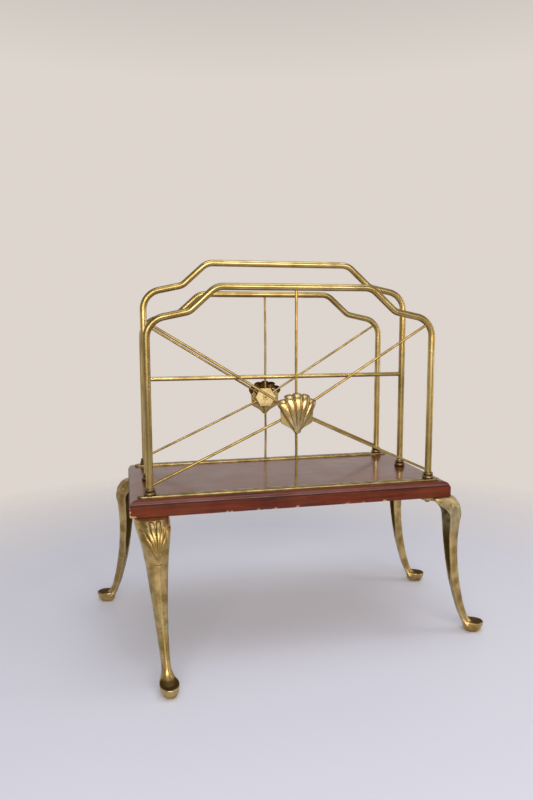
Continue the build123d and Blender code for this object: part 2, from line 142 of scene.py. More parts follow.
def cut_or_join(obj, others, operation):
    """Boolean of an object with others, which are used up."""
    for other in others:
        step = obj.modifiers.new(operation.lower(), "BOOLEAN")
        step.object = other
        step.operation = operation
        step.solver = "MANIFOLD"
    obj = settle(obj)
    for other in others:
        bpy.data.objects.remove(other)
    return obj


def cast_skin(obj, grain, passes):
    """Even skin over joined solids, with the soft inside corners of a casting."""
    skin = obj.modifiers.new("skin", "REMESH")
    skin.mode = "VOXEL"
    skin.voxel_size = grain * MM
    soft = obj.modifiers.new("soft", "SMOOTH")
    soft.factor = 0.5
    soft.iterations = passes
    return settle(obj)


def smooth_shading(mesh, sharp_degrees):
    """Smooth shading that stays sharp over edges of more than an angle."""
    mesh.polygons.foreach_set("use_smooth", [True] * len(mesh.polygons))
    mesh.set_sharp_from_angle(angle=math.radians(sharp_degrees))


def hand_over(obj, finish, nodes, sharp_degrees=40):
    """Gives a finished piece its material and its place in the frame."""
    obj.data.materials.clear()
    obj.data.materials.append(finish)
    smooth_shading(obj.data, sharp_degrees)
    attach(obj, "root")
    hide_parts(*nodes)
    return obj


def between(stations, at):
    """Smooth curve through stations, whose first value is the place along them."""
    places = [s[0] for s in stations]
    at = min(max(at, places[0]), places[-1])
    k = max(i for i in range(len(places) - 1) if places[i] <= at)
    width = places[k + 1] - places[k]
    t = (at - places[k]) / width
    values = []
    for c in range(1, len(stations[0])):
        def slope(i):
            """Steepness of the curve at a station."""
            low, high = max(i - 1, 0), min(i + 1, len(places) - 1)
            return (stations[high][c] - stations[low][c]) / (places[high] - places[low])
        a, b = stations[k][c], stations[k + 1][c]
        values.append(
            a * (2 * t**3 - 3 * t**2 + 1) + b * (3 * t**2 - 2 * t**3)
            + width * (slope(k) * (t**3 - 2 * t**2 + t) + slope(k + 1) * (t**3 - t**2))
        )
    return values


def write_shade_and_grime(obj, shade_and_grime_at):
    """Stores how much painted shade and grime each vertex has, from 0 to 1."""
    layer = obj.data.attributes.new("grime", "FLOAT", "POINT")
    layer.data.foreach_set("value", [shade_and_grime_at(vertex) for vertex in obj.data.vertices])


def ease(value, start, end):
    """0 before start, 1 after end, smooth between."""
    t = min(max((value - start) / (end - start), 0.0), 1.0)
    return t * t * (3 - 2 * t)


# ---------------------------------------------------------------- shader helpers
def linear(hex_colour):
    """sRGB hex to the linear colour that shaders take."""
    channels = [int(hex_colour[i:i + 2], 16) / 255 for i in (1, 3, 5)]
    return [c / 12.92 if c <= 0.04045 else ((c + 0.055) / 1.055) ** 2.4 for c in channels] + [1.0]


def add(tree, kind, settings=None, links=None):
    """Adds a node: settings are its properties and input values, links feed its inputs."""
    node = tree.nodes.new(kind)
    for key, value in (settings or {}).items():
        if isinstance(key, str) and hasattr(node, key):
            setattr(node, key, value)
        else:
            node.inputs[key].default_value = value
    for key, source in (links or {}).items():
        tree.links.new(source, node.inputs[key])
    return node


def start_material(name):
    """New material with an empty tree, its output, and Object coordinates."""
    material = bpy.data.materials.new(name)
    material.use_nodes = True
    tree = material.node_tree
    tree.nodes.clear()
    place = add(tree, "ShaderNodeTexCoord").outputs["Object"]
    return material, tree, place


def mottle(tree, place, size_mm, detail=3.0, roughness=0.55, stretch=(1, 1, 1), reach=None):
    """Noise with features of about a size in millimetres; reach spreads part of it over 0 to 1."""
    spread = add(tree, "ShaderNodeMapping", {"Scale": stretch}, {"Vector": place}).outputs[0]
    settings = {"Scale": 1 / (size_mm * MM), "Detail": detail, "Roughness": roughness}
    cloud = add(tree, "ShaderNodeTexNoise", settings, {"Vector": spread}).outputs["Fac"]
    if reach is None:
        return cloud
    low, high = reach
    return add(tree, "ShaderNodeMapRange", {"From Min": low, "From Max": high}, {"Value": cloud}).outputs[0]


def tinted(tree, colour, tint, mask, share=1.0):
    """A colour under a tint that covers it by a share of a mask; each is sRGB hex or a socket."""
    settings = {"operation": "MULTIPLY", "use_clamp": True, 1: share}
    cover = add(tree, "ShaderNodeMath", settings, {0: mask}).outputs[0]
    node = add(tree, "ShaderNodeMix", {"data_type": "RGBA"}, {"Factor": cover})
    for socket, value in ((node.inputs[6], colour), (node.inputs[7], tint)):
        if isinstance(value, str):
            socket.default_value = linear(value)
        else:
            tree.links.new(value, socket)
    return node.outputs[2]


def layered(tree, colour, layers):
    """A colour under layers of (value, low, high, tint, share), each where its value nears high."""
    for value, low, high, tint, share in layers:
        mask = add(tree, "ShaderNodeMapRange", {"From Min": low, "From Max": high}, {"Value": value})
        colour = tinted(tree, colour, tint, mask.outputs[0], share)
    return colour


def marks_near(tree, place, centre_mm, spread_mm, size_mm, detail, reach):
    """Mottled marks that thin out away from a point."""
    centre = [c * MM for c in centre_mm]
    gap = add(tree, "ShaderNodeVectorMath", {"operation": "DISTANCE", 1: centre}, {0: place})
    settings = {"From Min": 0.35 * spread_mm * MM, "From Max": spread_mm * MM, "To Min": 1.0, "To Max": 0.0}
    close = add(tree, "ShaderNodeMapRange", settings, {"Value": gap.outputs["Value"]}).outputs[0]
    specks = mottle(tree, place, size_mm, detail, reach=reach)
    return add(tree, "ShaderNodeMath", {"operation": "MULTIPLY"}, {0: close, 1: specks}).outputs[0]


def relief(tree, heights):
    """Bump from (value, depth in millimetres) pairs, laid one on another."""
    normal = None
    for value, depth in heights:
        bump = add(tree, "ShaderNodeBump", {"Strength": 1.0, "Distance": depth * MM}, {"Height": value})
        if normal is not None:
            tree.links.new(normal, bump.inputs["Normal"])
        normal = bump.outputs["Normal"]
    return normal


def brass(name, bright, aged, dark, roughness, patch_mm, spots=0.5, hollow_shade=0.0, lumps=0.05, grit=0.006,
          metallic=1.0, marks=()):
    """Old brass: patches of tarnish, brown spots, painted shade in hollows, shade and grime where the mesh
    marks them, lighter sharp edges, verdigris marks.

    Bare, lightly lacquered metal: colour comes from the metal itself, softened by a film of age.
    """
    material, tree, place = start_material(name)
    patches = mottle(tree, place, patch_mm, 5.0, reach=(0.38, 0.64))
    cloud = mottle(tree, place, patch_mm * 4.5, 2.0)
    grain = mottle(tree, place, 0.9, 2.0)        # casting and draw marks, about 1 mm
    speck = mottle(tree, place, 2.2, 2.0)
    layers = [(cloud, 0.45, 0.7, dark, 0.45), (speck, 0.66, 0.74, dark, spots)]
    # painted shade in the mesh's hollows and lighter colour on its sharp edges, both read from its curvature
    if hollow_shade:
        curve = add(tree, "ShaderNodeNewGeometry").outputs["Pointiness"]
        layers += [(curve, 0.497, 0.455, dark, hollow_shade), (curve, 0.508, 0.54, bright, 0.55)]
    colour = layered(tree, tinted(tree, bright, aged, patches), layers)
    # painted shade and grime where the mesh marks them: darker colour, and duller
    shade_and_dirt = add(tree, "ShaderNodeAttribute", {"attribute_name": "grime"}).outputs["Fac"]
    shade_and_dirt = add(tree, "ShaderNodeMapRange", {"From Min": 0.1, "From Max": 0.8}, {"Value": shade_and_dirt}).outputs[0]
    colour = tinted(tree, colour, dark, shade_and_dirt, 0.85)
    settings = {"To Min": roughness, "To Max": roughness + 0.1}
    shine = add(tree, "ShaderNodeMapRange", settings, {"Value": patches}).outputs[0]
    dull = add(tree, "ShaderNodeMath", {"operation": "MULTIPLY", 1: 0.62}, {0: shade_and_dirt}).outputs[0]
    shine = add(tree, "ShaderNodeMath", {"operation": "MAXIMUM"}, {0: shine, 1: dull}).outputs[0]
    bare = None
    for *where, tint, share in marks:
        mark = marks_near(tree, place, *where)
        colour = tinted(tree, colour, tint, mark, share)
        settings = {"To Min": 1.0, "To Max": 1.0 - 0.85 * share}
        left = add(tree, "ShaderNodeMapRange", settings, {"Value": mark}).outputs[0]
        if bare is not None:
            left = add(tree, "ShaderNodeMath", {"operation": "MULTIPLY"}, {0: bare, 1: left}).outputs[0]
        bare = left
        settings = {"To Min": roughness, "To Max": roughness + (0.75 - roughness) * share}
        crust = add(tree, "ShaderNodeMapRange", settings, {"Value": mark}).outputs[0]
        shine = add(tree, "ShaderNodeMath", {"operation": "MAXIMUM"}, {0: shine, 1: crust}).outputs[0]
    shader = add(tree, "ShaderNodeBsdfPrincipled", {"Metallic": metallic}, {
        "Base Color": colour, "Roughness": shine,
        "Normal": relief(tree, [(cloud, lumps), (patches, grit), (grain, grit)]),
    })
    if bare is not None:
        tree.links.new(bare, shader.inputs["Metallic"])
    add(tree, "ShaderNodeOutputMaterial", None, {"Surface": shader.outputs[0]})
    return material


# ---------------------------------------------------------------- legs: sizes and shape
LEG_REACH = 63.7                 # bolt axis to the middle of the foot pad
LUG = 9.0                        # round end of the flange, about the bolt
FLANGE = 5.5                     # thickness of the top flange
WALL = 2.6
SQUARENESS = 2.35                # power of the leg's rounded section; 2 would be an ellipse
RIDGE = (0.8, 1.5)               # soft ridge down the front: height and half-width
# name: hoop, side, bearing about its bolt (0 is +X), sideways bend; angles in degrees
LEGS = {
    "leg_front_left": ("front", "left", -84.0, 2.2),
    "leg_front_right": ("front", "right", -6.5, 0.0),
    "leg_rear_left": ("rear", "left", 154.0, 0.0),
    "leg_rear_right": ("rear", "right", -6.5, 0.0),
}
# depth below the deck, front crown, back, half-width
LEG_STATIONS = [
    (0.0, 27.0, 3.0, 19.0),
    (4.5, 34.0, 4.5, 19.6),
    (9.5, 37.8, 10.0, 19.0),
    (15.0, 40.0, 18.0, 17.8),
    (23.0, 41.3, 23.5, 16.0),
    (37.0, 40.6, 24.8, 13.7),
    (57.5, 39.4, 25.7, 11.4),
    (82.0, 40.3, 28.2, 9.3),
    (110.0, 43.6, 32.3, 7.1),
    (134.0, 48.2, 38.4, 5.7),
    (152.0, 53.2, 44.0, 5.1),
    (159.0, 56.6, 47.2, 5.6),
    (164.0, 61.0, 50.0, 7.4),
    (167.5, 66.0, 51.5, 9.0),
    (170.0, 68.5, 53.0, 9.2),
]
CHANNEL_END = 110.0              # the channel at the back closes at this depth
CHANNEL_CLOSING = 26.0           # over this length
# fan on the knee: each lobe's end, as distance across the leg and depth below the deck, and its
# half-width there; all lobes grow from the bud
BUD = 43.5
FAN = [(3.7, 2.6, 2.5), (8.4, 7.6, 2.6), (14.6, 11.6, 3.6)]
PAD_LENGTH = 13.7                # half-length and half-width of the foot pad at its rim
PAD_WIDTH = 10.5
PAD_HEEL_RISE = 2.6              # the rim is this much higher where it meets the ankle
# share of the rim, height above the floor
PAD_PROFILE = [
    (0.58, 0.0), (0.64, 0.15), (0.72, 1.2), (0.83, 3.6), (0.92, 6.6), (0.98, 9.6), (1.0, 11.2),
    (0.985, 12.1), (0.94, 12.5), (0.88, 12.2), (0.74, 11.1), (0.5, 10.2), (0.25, 9.9), (0.05, 9.8),
]


def fan_height(across, depth):
    """Height of the fan's relief above the knee, below zero in its grooves."""
    best, beyond = -9.0, 0.0
    for end, end_depth, half in FAN:
        t = (BUD - depth) / (BUD - end_depth)
        if t < 0.04:
            continue
        centre = end * min(t, 1.12) ** 1.6
        width = half * (0.14 + 0.86 * min(t, 1.0))
        past = max(t - 1.0, 0.0) * (BUD - end_depth) / half
        off = math.hypot((abs(across) - centre) / width, past)
        if 1.0 - off * off > best:
            best, beyond = 1.0 - off * off, past
    grown = ease(BUD - depth, 0.5, 9.0)
    if best > 0:
        return (0.25 + 0.9 * math.sqrt(best)) * grown
    groove = (0.25 - 0.75 * (1 - math.exp(best * 5.0))) * math.exp(best * 1.6) * grown
    return groove * (1 - 0.75 * ease(beyond, 0.0, 0.6))


def curl_height(across, depth):
    """Two small curled lines cut under the bud."""
    rise = 2.4 * (abs(across) / 4.6) ** 1.7
    off = (depth - (BUD + 2.6 - rise)) / 0.75
    return -0.34 * math.exp(-off * off) * ease(5.6 - abs(across), 0.0, 2.4)


def leg_ring(depth):
    """Closed section of the leg at a depth, with the soft ridge down its front."""
    crown, back, half = between(LEG_STATIONS, depth)
    count = 96
    rise, width = RIDGE
    ridge = rise * ease(depth, 42.0, 58.0) * (1 - ease(depth, 150.0, 164.0))
    ring = []
    for i in range(count + 1):
        turn = (i / count - 0.5) * math.pi
        u = back + (crown - back) * abs(math.cos(turn)) ** (2 / SQUARENESS)
        v = half * math.copysign(abs(math.sin(turn)) ** (2 / SQUARENESS), turn)
        ring.append((u + ridge * math.exp(-(v / width) ** 2), v, -depth))
    steps = 16
    ring += [(back, half * (1 - 2 * i / steps), -depth) for i in range(1, steps)]
    return ring


def channel_ring(depth):
    """Section of the hollow in the back of the leg."""
    crown, back, half = between(LEG_STATIONS, depth)
    close = ease(depth, CHANNEL_END - CHANNEL_CLOSING, CHANNEL_END)
    wall = WALL + close * (half - WALL - 0.9)
    inner_crown = back + max(crown - back - WALL, 1.0) * (1 - close) ** 0.6 + 0.6 * close
    count = 28
    ring = []
    for i in range(count + 1):
        turn = (i / count - 0.5) * math.pi
        u = back + (inner_crown - back) * abs(math.cos(turn)) ** 0.8
        v = (half - wall) * math.copysign(abs(math.sin(turn)) ** 0.8, turn)
        ring.append((u, v, -depth))
    ring.append((back - 14.0, half - wall, -depth))
    ring.append((back - 14.0, -(half - wall), -depth))
    return ring


def flange_ring(inset, depth):
    """Plan of the flange: round lug at the bolt, widening into the knee."""
    crown, _, half = between(LEG_STATIONS, 0.0)
    count = 24
    ring = []
    for i in range(count + 1):
        turn = math.pi / 2 + math.pi * i / count
        ring.append(((LUG - inset) * math.cos(turn), (LUG - inset) * math.sin(turn), -depth))
    for i in range(count + 1):
        turn = -math.pi / 2 + math.pi * i / count
        u = 12.0 + (crown - 12.0 - inset) * math.cos(turn)
        ring.append((u, (half - 1.5 - inset) * math.sin(turn), -depth))
    return ring


def pad_ring(share, height):
    """Ring of the foot pad; the rim rises towards the ankle."""
    ring = []
    for turn in turns_of(64):
        lift = PAD_HEEL_RISE * ((1 - math.cos(turn)) / 2) ** 1.5 * share * ease(height, 3.0, 11.0)
        ring.append((
            LEG_REACH + PAD_LENGTH * share * math.cos(turn),
            PAD_WIDTH * share * math.sin(turn),
            height + lift - UNDER,
        ))
    return ring


def round_bar(name, centre, radius, low, high, count=40):
    """Upright round bar."""
    turns = turns_of(count)
    return loft(name, [
        [(centre[0] + radius * math.cos(t), centre[1] + radius * math.sin(t), z) for t in turns]
        for z in (low, high)
    ])


def cast_leg():
    """One leg about its bolt, pointing along +X, deck's underside at Z = 0."""
    depths = [0.15 + 1.5 * i for i in range(113)] + [170.0]
    body = loft("leg_casting", [leg_ring(d) for d in depths])
    channel = loft("channel", [channel_ring(d) for d in
                               [FLANGE + i * 1.5 for i in range(70)] + [CHANNEL_END + 0.5]])
    body = cut_or_join(body, [channel], "DIFFERENCE")
    flange = loft("flange", [
        flange_ring(0.7, FLANGE), flange_ring(0.2, FLANGE - 0.3), flange_ring(0.0, FLANGE - 0.9),
        flange_ring(0.0, 0.8), flange_ring(0.25, 0.25), flange_ring(0.8, 0.02),
    ])
    pad = loft("pad", [pad_ring(share, height) for share, height in PAD_PROFILE])
    hole = round_bar("hole", (0, 0), BOLT_SHANK + SLIP, -2 * FLANGE, FLANGE)
    body = cut_or_join(body, [flange, pad], "UNION")
    body = cut_or_join(body, [hole], "DIFFERENCE")
    return carve_knee(cast_skin(body, 0.8, 3))


def carve_knee(leg):
    """Finer mesh on the knee, raised into the fan; marks painted shade inside the channel and in the fan's
    grooves, and darker colour on the foot's dish.
    """
    form = bmesh.new()
    form.from_mesh(leg.data)
    form.normal_update()
    knee = [f for f in form.faces
            if f.normal.x > 0.12 and f.calc_center_median().z > -(BUD + 7) * MM
            and f.calc_center_median().x > 25.5 * MM]
    edges = list({e for f in knee for e in f.edges})
    bmesh.ops.subdivide_edges(form, edges=edges, cuts=1, use_grid_fill=True)
    form.normal_update()
    grime = form.verts.layers.float.new("grime")
    for vertex in form.verts:
        u, v, z = vertex.co / MM
        crown, back, half = between(LEG_STATIONS, -z)
        normal = vertex.normal.copy()
        outward = Vector(((u - back) / max(crown - back, 1.0) ** 2, v / half ** 2, 0.0)).normalized()
        facing = normal.dot(outward)
        # painted shade on the faces inside the channel at the back of the leg
        inside = ease(-facing, 0.05, 0.5) if FLANGE < -z < 150.0 and u > back - 0.5 else 0.0
        # darker on the upward faces of the foot's dish
        dish = ease(normal.z, 0.5, 0.8) * ease(-z, 162.0, 165.0)
        vertex[grime] = max(inside, 0.85 * dish)
        if normal.x > 0.0 and -z < BUD + 7 and u > 25.5:
            rise = fan_height(v, -z) + curl_height(v, -z)
            rise *= ease(normal.x, 0.05, 0.35) * ease(-z, 0.6, 2.2)
            # painted shade in the fan's grooves
            vertex[grime] = max(vertex[grime], ease(-rise, 0.05, 0.45))
            vertex.co += normal * (rise * MM)
    form.to_mesh(leg.data)
    form.free()
    return leg


def place_leg(casting, name):
    """Copy of the casting, bent and turned about its own bolt."""
    mesh = casting.data.copy()
    mesh.name = name
    for vertex in mesh.vertices:
        out, across, height = vertex.co / MM
        point = leg_point(name, out, across, -height)
        point.z = min(max(point.z, 0.0), UNDER - 0.02)
        vertex.co = point * MM
    leg = bpy.data.objects.new(name + "_casting", mesh)
    bpy.context.scene.collection.objects.link(leg)
    return leg


def leg_point(name, out, across, depth):
    """Place on a leg: out from the bolt, across, and down from the deck."""
    hoop, side, bearing, lean = LEGS[name]
    post = POSTS[hoop, side]
    turn = Matrix.Rotation(math.radians(bearing), 4, "Z")
    local = turn @ Vector((out, across + depth * math.tan(math.radians(lean)), -depth))
    return Vector((post.x + local.x, post.y + local.y, UNDER - depth))


# ---------------------------------------------------------------- deck
FASCIA = 13.0
STEP = (1.0, 0.8)                # depth and height of the step above the fascia
QUARTER = (8.0, 4.9)             # run and rise of the quarter-round
# inset from the deck's edge and height above its underside
DECK_PROFILE = [(1.4, 0.0), (0.5, 0.05), (0.12, 0.3), (0.0, 0.9)]
DECK_PROFILE += [(0.0, 0.9 + 1.13 * i) for i in range(1, 10)]
DECK_PROFILE += [(0.0, 12.2), (0.1, 12.75), (0.45, FASCIA)]
DECK_PROFILE += [(STEP[0] - 0.1, FASCIA + 0.05), (STEP[0], FASCIA + STEP[1])]
DECK_PROFILE += [
    (STEP[0] + QUARTER[0] * (1 - math.cos(math.radians(a))),
     FASCIA + STEP[1] + QUARTER[1] * math.sin(math.radians(a)))
    for a in range(9, 91, 9)
]
DECK_PROFILE += [(STEP[0] + QUARTER[0] + extra, FASCIA + STEP[1] + QUARTER[1]) for extra in (1, 3)]
COUNTERBORE = (6.0, 6.0)         # radius and depth
CORNER_RUB = 0.35                # radius of the upright corners


def deck_ring(inset, height):
    """Rectangle round the deck at an inset, with slightly rubbed corners."""
    half_x = (deck_high.x - deck_low.x) / 2 - inset
    half_y = (deck_high.y - deck_low.y) / 2 - inset
    rub = CORNER_RUB
    ring = []
    corners = [(1, -1, -90), (1, 1, 0), (-1, 1, 90), (-1, -1, 180)]
    for k, (sx, sy, start) in enumerate(corners):
        for i in range(4):
            turn = math.radians(start + 30 * i)
            ring.append((sx * (half_x - rub) + rub * math.cos(turn),
                         sy * (half_y - rub) + rub * math.sin(turn)))
        nx, ny, nstart = corners[(k + 1) % 4]
        a = ring[-1]
        turn = math.radians(nstart)
        b = (nx * (half_x - rub) + rub * math.cos(turn), ny * (half_y - rub) + rub * math.sin(turn))
        steps = 150 if k in (1, 3) else 76
        for i in range(1, steps):
            t = i / steps
            ring.append((a[0] + (b[0] - a[0]) * t, a[1] + (b[1] - a[1]) * t))
    return [(DECK.x + x, DECK.y + y, UNDER + height) for x, y in ring]


def chip_at(point):
    """How deep the edge is chipped at a point of the deck, from 0 to 1."""
    spread = noise.noise(Vector(point) * 0.11) + 0.55 * noise.noise(Vector(point) * 0.43)
    low = 1 - ease(point[2] - UNDER, 0.6, 3.2)
    lower_edge = ease(spread, 0.42, 0.6) * low
    corner = Vector((deck_low.x, deck_low.y, UNDER))
    away = Vector(point) - corner
    reach = Vector((away.x * 0.55, away.y, away.z * 1.5)).length + 2.0 * spread
    front_left = 1 - ease(reach, 3.4, 5.0)
    along_corner = 1 - ease(math.hypot(point[0] - corner.x, point[1] - corner.y), 0.9, 2.2)
    worn = along_corner * ease(spread, -0.25, 0.1) * (1 - ease(point[2] - UNDER, 10.5, 13.0))
    return max(lower_edge, front_left, worn)


def make_deck():
    """Deck with mitred moulding, chipped edges, bolt holes and counterbores."""
    rings = []
    for inset, height in DECK_PROFILE:
        ring = []
        for x, y, z in deck_ring(inset, height):
            chip = chip_at((x, y, z)) if inset < 1.0 and height < FASCIA else 0.0
            wave = 0.05 * noise.noise(Vector((x, y, z)) * 0.05)
            inward = Vector((DECK.x - x, DECK.y - y, 0)).normalized()
            ring.append((x + inward.x * (0.55 * chip + wave * (height > 0.5)),
                         y + inward.y * (0.55 * chip + wave * (height > 0.5)),
                         z + 0.35 * chip * (height < 2.0)))
        rings.append(ring)
    deck = loft("deck_solid", rings)
    cutters = []
    for (hoop, _), post in POSTS.items():
        cutters.append(round_bar("bolt_hole", post, BOLT_SHANK + SLIP, UNDER - 5, TOP + 5, 24))
        if hoop == "middle":
            cutters.append(round_bar("counterbore", post, COUNTERBORE[0], UNDER - 5, UNDER + COUNTERBORE[1]))
    for hub in HUBS:
        centre = (HUBS[hub].x, POSTS[hub, "left"].y)
        cutters.append(round_bar("wire_hole", centre, WIRE + SLIP, TOP - 1.0, TOP + 5, 20))
    deck = cut_or_join(deck, cutters, "DIFFERENCE")
    chips = deck.data.attributes.new("chip", "FLOAT", "POINT")
    values = []
    for vertex in deck.data.vertices:
        point = vertex.co / MM
        edge = min(point.x - deck_low.x, deck_high.x - point.x, point.y - deck_low.y,
                   deck_high.y - point.y)
        values.append(chip_at(point) if edge < 1.5 and point.z < UNDER + FASCIA else 0.0)
    chips.data.foreach_set("value", values)
    deck.name = "moulded_deck"
    return deck


def between_levels(tree, height, start, full, fading, gone):
    """1 between two heights and 0 outside them, with soft edges."""
    rising, falling = (
        add(tree, "ShaderNodeMapRange", {"From Min": low, "From Max": high}, {"Value": height}).outputs[0]
        for low, high in ((start, full), (gone, fading))
    )
    return add(tree, "ShaderNodeMath", {"operation": "MULTIPLY"}, {0: rising, 1: falling}).outputs[0]


def lacquered_wood(name):
    """Red-brown stained hardwood under worn gloss lacquer: streaky grain below a clear film."""
    material, tree, place = start_material(name)
    flow = mottle(tree, place, 60.0, 2.0, 0.5, (0.35, 1, 1))
    bend = add(tree, "ShaderNodeCombineXYZ", None, {1: flow, 2: flow}).outputs[0]
    bend = add(tree, "ShaderNodeVectorMath", {"operation": "SCALE", "Scale": 0.012}, {0: bend}).outputs[0]
    warped = add(tree, "ShaderNodeVectorMath", {"operation": "ADD"}, {0: place, 1: bend}).outputs[0]
    streaks = mottle(tree, warped, 5.0, 6.0, 0.62, (0.05, 1, 1))     # growth rings, about 5 mm apart
    pores = mottle(tree, warped, 1.1, 2.0, 0.6, (0.05, 1, 1))        # open pores, drawn about 1 mm wide
    clouds = mottle(tree, place, 45.0, 3.0)
    scratches = mottle(tree, place, 1.4, 1.0, 0.5, (0.12, 1, 1), (0.70, 0.74))
    colour = layered(tree, "#451409", [
        (streaks, 0.36, 0.64, "#6C2A10", 1.0),
        (clouds, 0.4, 0.7, "#80401F", 0.35),
        (pores, 0.60, 0.70, "#35100A", 0.55),
    ])
    height = add(tree, "ShaderNodeSeparateXYZ", None, {"Vector": place}).outputs["Z"]
    crest = (UNDER + FASCIA + STEP[1]) * MM
    # painted highlight along the quarter-round just above its step, broken up by a mottle
    painted_sheen = between_levels(tree, height, crest - 0.0004, crest + 0.0006, crest + 0.0012, crest + 0.0030)
    sheen_breakup = mottle(tree, place, 14.0, 4.0, 0.6, (0.35, 1, 1), (0.42, 0.62))
    painted_sheen = add(tree, "ShaderNodeMath", {"operation": "MULTIPLY"}, {0: painted_sheen, 1: sheen_breakup}).outputs[0]
    # painted shadow line in the step between the fascia and the moulding
    step_shadow = between_levels(tree, height, crest - 0.0011, crest - 0.0006, crest + 0.0004, crest + 0.0010)
    colour = tinted(tree, colour, "#86686A", painted_sheen, 0.42)
    colour = tinted(tree, colour, "#260A06", step_shadow, 0.75)
    facing = add(tree, "ShaderNodeNewGeometry").outputs["Normal"]
    facing = add(tree, "ShaderNodeSeparateXYZ", None, {"Vector": facing}).outputs["Z"]
    beside = add(tree, "ShaderNodeMapRange", {"From Min": -0.95, "From Max": -0.7}, {"Value": facing})
    raw = add(tree, "ShaderNodeAttribute", {"attribute_name": "chip"}).outputs["Fac"]
    raw = add(tree, "ShaderNodeMapRange", {"From Min": 0.25, "From Max": 0.5}, {"Value": raw}).outputs[0]
    raw = add(tree, "ShaderNodeMath", {"operation": "MULTIPLY"}, {0: raw, 1: beside.outputs[0]}).outputs[0]
    colour = tinted(tree, colour, "#C09468", raw)
    settings = {"From Min": 0.3, "From Max": 0.7, "To Min": 0.34, "To Max": 0.5}
    shine = add(tree, "ShaderNodeMapRange", settings, {"Value": clouds}).outputs[0]
    dull = add(tree, "ShaderNodeMath", {"operation": "MULTIPLY", 1: 0.85}, {0: raw}).outputs[0]
    shine = add(tree, "ShaderNodeMath", {"operation": "MAXIMUM"}, {0: shine, 1: dull}).outputs[0]
    # the lacquer is thick on top, worn thin on the fascia and gone from the chips
    settings = {"From Min": crest, "From Max": crest + 0.0045, "To Min": 0.12, "To Max": 0.7}
    film = add(tree, "ShaderNodeMapRange", settings, {"Value": height}).outputs[0]
    whole = add(tree, "ShaderNodeMath", {"operation": "SUBTRACT", 0: 1.0}, {1: raw}).outputs[0]
    film = add(tree, "ShaderNodeMath", {"operation": "MULTIPLY"}, {0: film, 1: whole}).outputs[0]
    shader = add(tree, "ShaderNodeBsdfPrincipled", {
        "Metallic": 0.0, "Specular IOR Level": 0.2, "Coat Roughness": 0.14, "Coat IOR": 1.5,
    }, {
        "Base Color": colour, "Roughness": shine, "Coat Weight": film,
        "Normal": relief(tree, [(clouds, 0.12), (streaks, 0.02), (pores, 0.012), (scratches, 0.01)]),
    })
    add(tree, "ShaderNodeOutputMaterial", None, {"Surface": shader.outputs[0]})
    return material


# ---------------------------------------------------------------- tubes and wires
def open_tree(name, inputs, result):
    """New Geometry Nodes tree with named inputs and one result; gives it and its input sockets."""
    tree = bpy.data.node_groups.new(name, "GeometryNodeTree")
    for label, kind in inputs.items():
        tree.interface.new_socket(label, in_out="INPUT", socket_type="NodeSocket" + kind)
    tree.interface.new_socket(result, in_out="OUTPUT", socket_type="NodeSocketGeometry")
    return tree, add(tree, "NodeGroupInput").outputs


def close_tree(tree, shape, finish, result):
    """Ends a tree: instances made real, then the material."""
    real = add(tree, "GeometryNodeRealizeInstances", None, {"Geometry": shape}).outputs[0]
    done = add(tree, "GeometryNodeSetMaterial", None, {"Geometry": real, "Material": finish})
    add(tree, "NodeGroupOutput", None, {result: done.outputs[0]})
    return tree


def bent_tube_tree():
    """Geometry Nodes: sweeps a round section along a path of edges and closes its ends."""
    inputs = {"Path": "Geometry", "Radius": "Float", "Sides": "Int", "Finish": "Material"}
    tree, given = open_tree("bent_tube", inputs, "Tube")
    path = add(tree, "GeometryNodeMeshToCurve", None, {"Mesh": given["Path"]}).outputs[0]
    section = add(tree, "GeometryNodeCurvePrimitiveCircle", None,
                  {"Resolution": given["Sides"], "Radius": given["Radius"]}).outputs[0]
    swept = add(tree, "GeometryNodeCurveToMesh", {"Fill Caps": True},
                {"Curve": path, "Profile Curve": section}).outputs[0]
    return close_tree(tree, swept, given["Finish"], "Tube")


def run_tree(host, tree, values):
    """Runs a Geometry Nodes tree on an object and keeps the plain mesh."""
    step = host.modifiers.new(tree.name, "NODES")
    step.node_group = tree
    for item in tree.interface.items_tree:
        if item.in_out == "INPUT" and item.name in values:
            step[item.identifier] = values[item.name]
    host.update_tag()
    bpy.context.view_layer.update()
    return settle(host)


def tube(name, path, radius, sides, finish, tree):
    """Tube along a path of points in millimetres."""
    edges = [(i, i + 1) for i in range(len(path) - 1)]
    host = new_object(name, path, [], edges)
    made = run_tree(host, tree, {"Radius": radius * MM, "Sides": sides, "Finish": finish})
    point_outwards(made.data)
    return made


def rounded(corners):
    """Points along straight runs joined by arcs; corners are (x, z, radius)."""
    points = [corners[0][:2]]
    for before, here, after in zip(corners, corners[1:], corners[2:]):
        p, a, b = Vector(here[:2]), Vector(before[:2]), Vector(after[:2])
        to_a, to_b = (a - p).normalized(), (b - p).normalized()
        opening = to_a.angle(to_b)
        length = here[2] / math.tan(opening / 2)
        centre = p + (to_a + to_b).normalized() * (here[2] / math.sin(opening / 2))
        start, end = p + to_a * length - centre, p + to_b * length - centre
        sweep = start.angle_signed(end)
        steps = max(int(abs(math.degrees(sweep)) / 4), 3)
        for i in range(steps + 1):
            turn = Matrix.Rotation(-sweep * i / steps, 2)
            points.append(tuple(centre + turn @ start))
    points.append(corners[-1][:2])
    return points


STEP_DROP = 27.0                 # top rail down to the lower end of the slope
SHOULDER_DROP = 37.0             # top rail down to the corner over the post
SLOPE_FOOT = 47.0                # post axis to the lower end of the slope
SLOPE_HEAD = 77.0                # post axis to the upper end of the slope
BENDS = (24.0, 16.0, 20.0)       # radii at shoulder, dip and crest


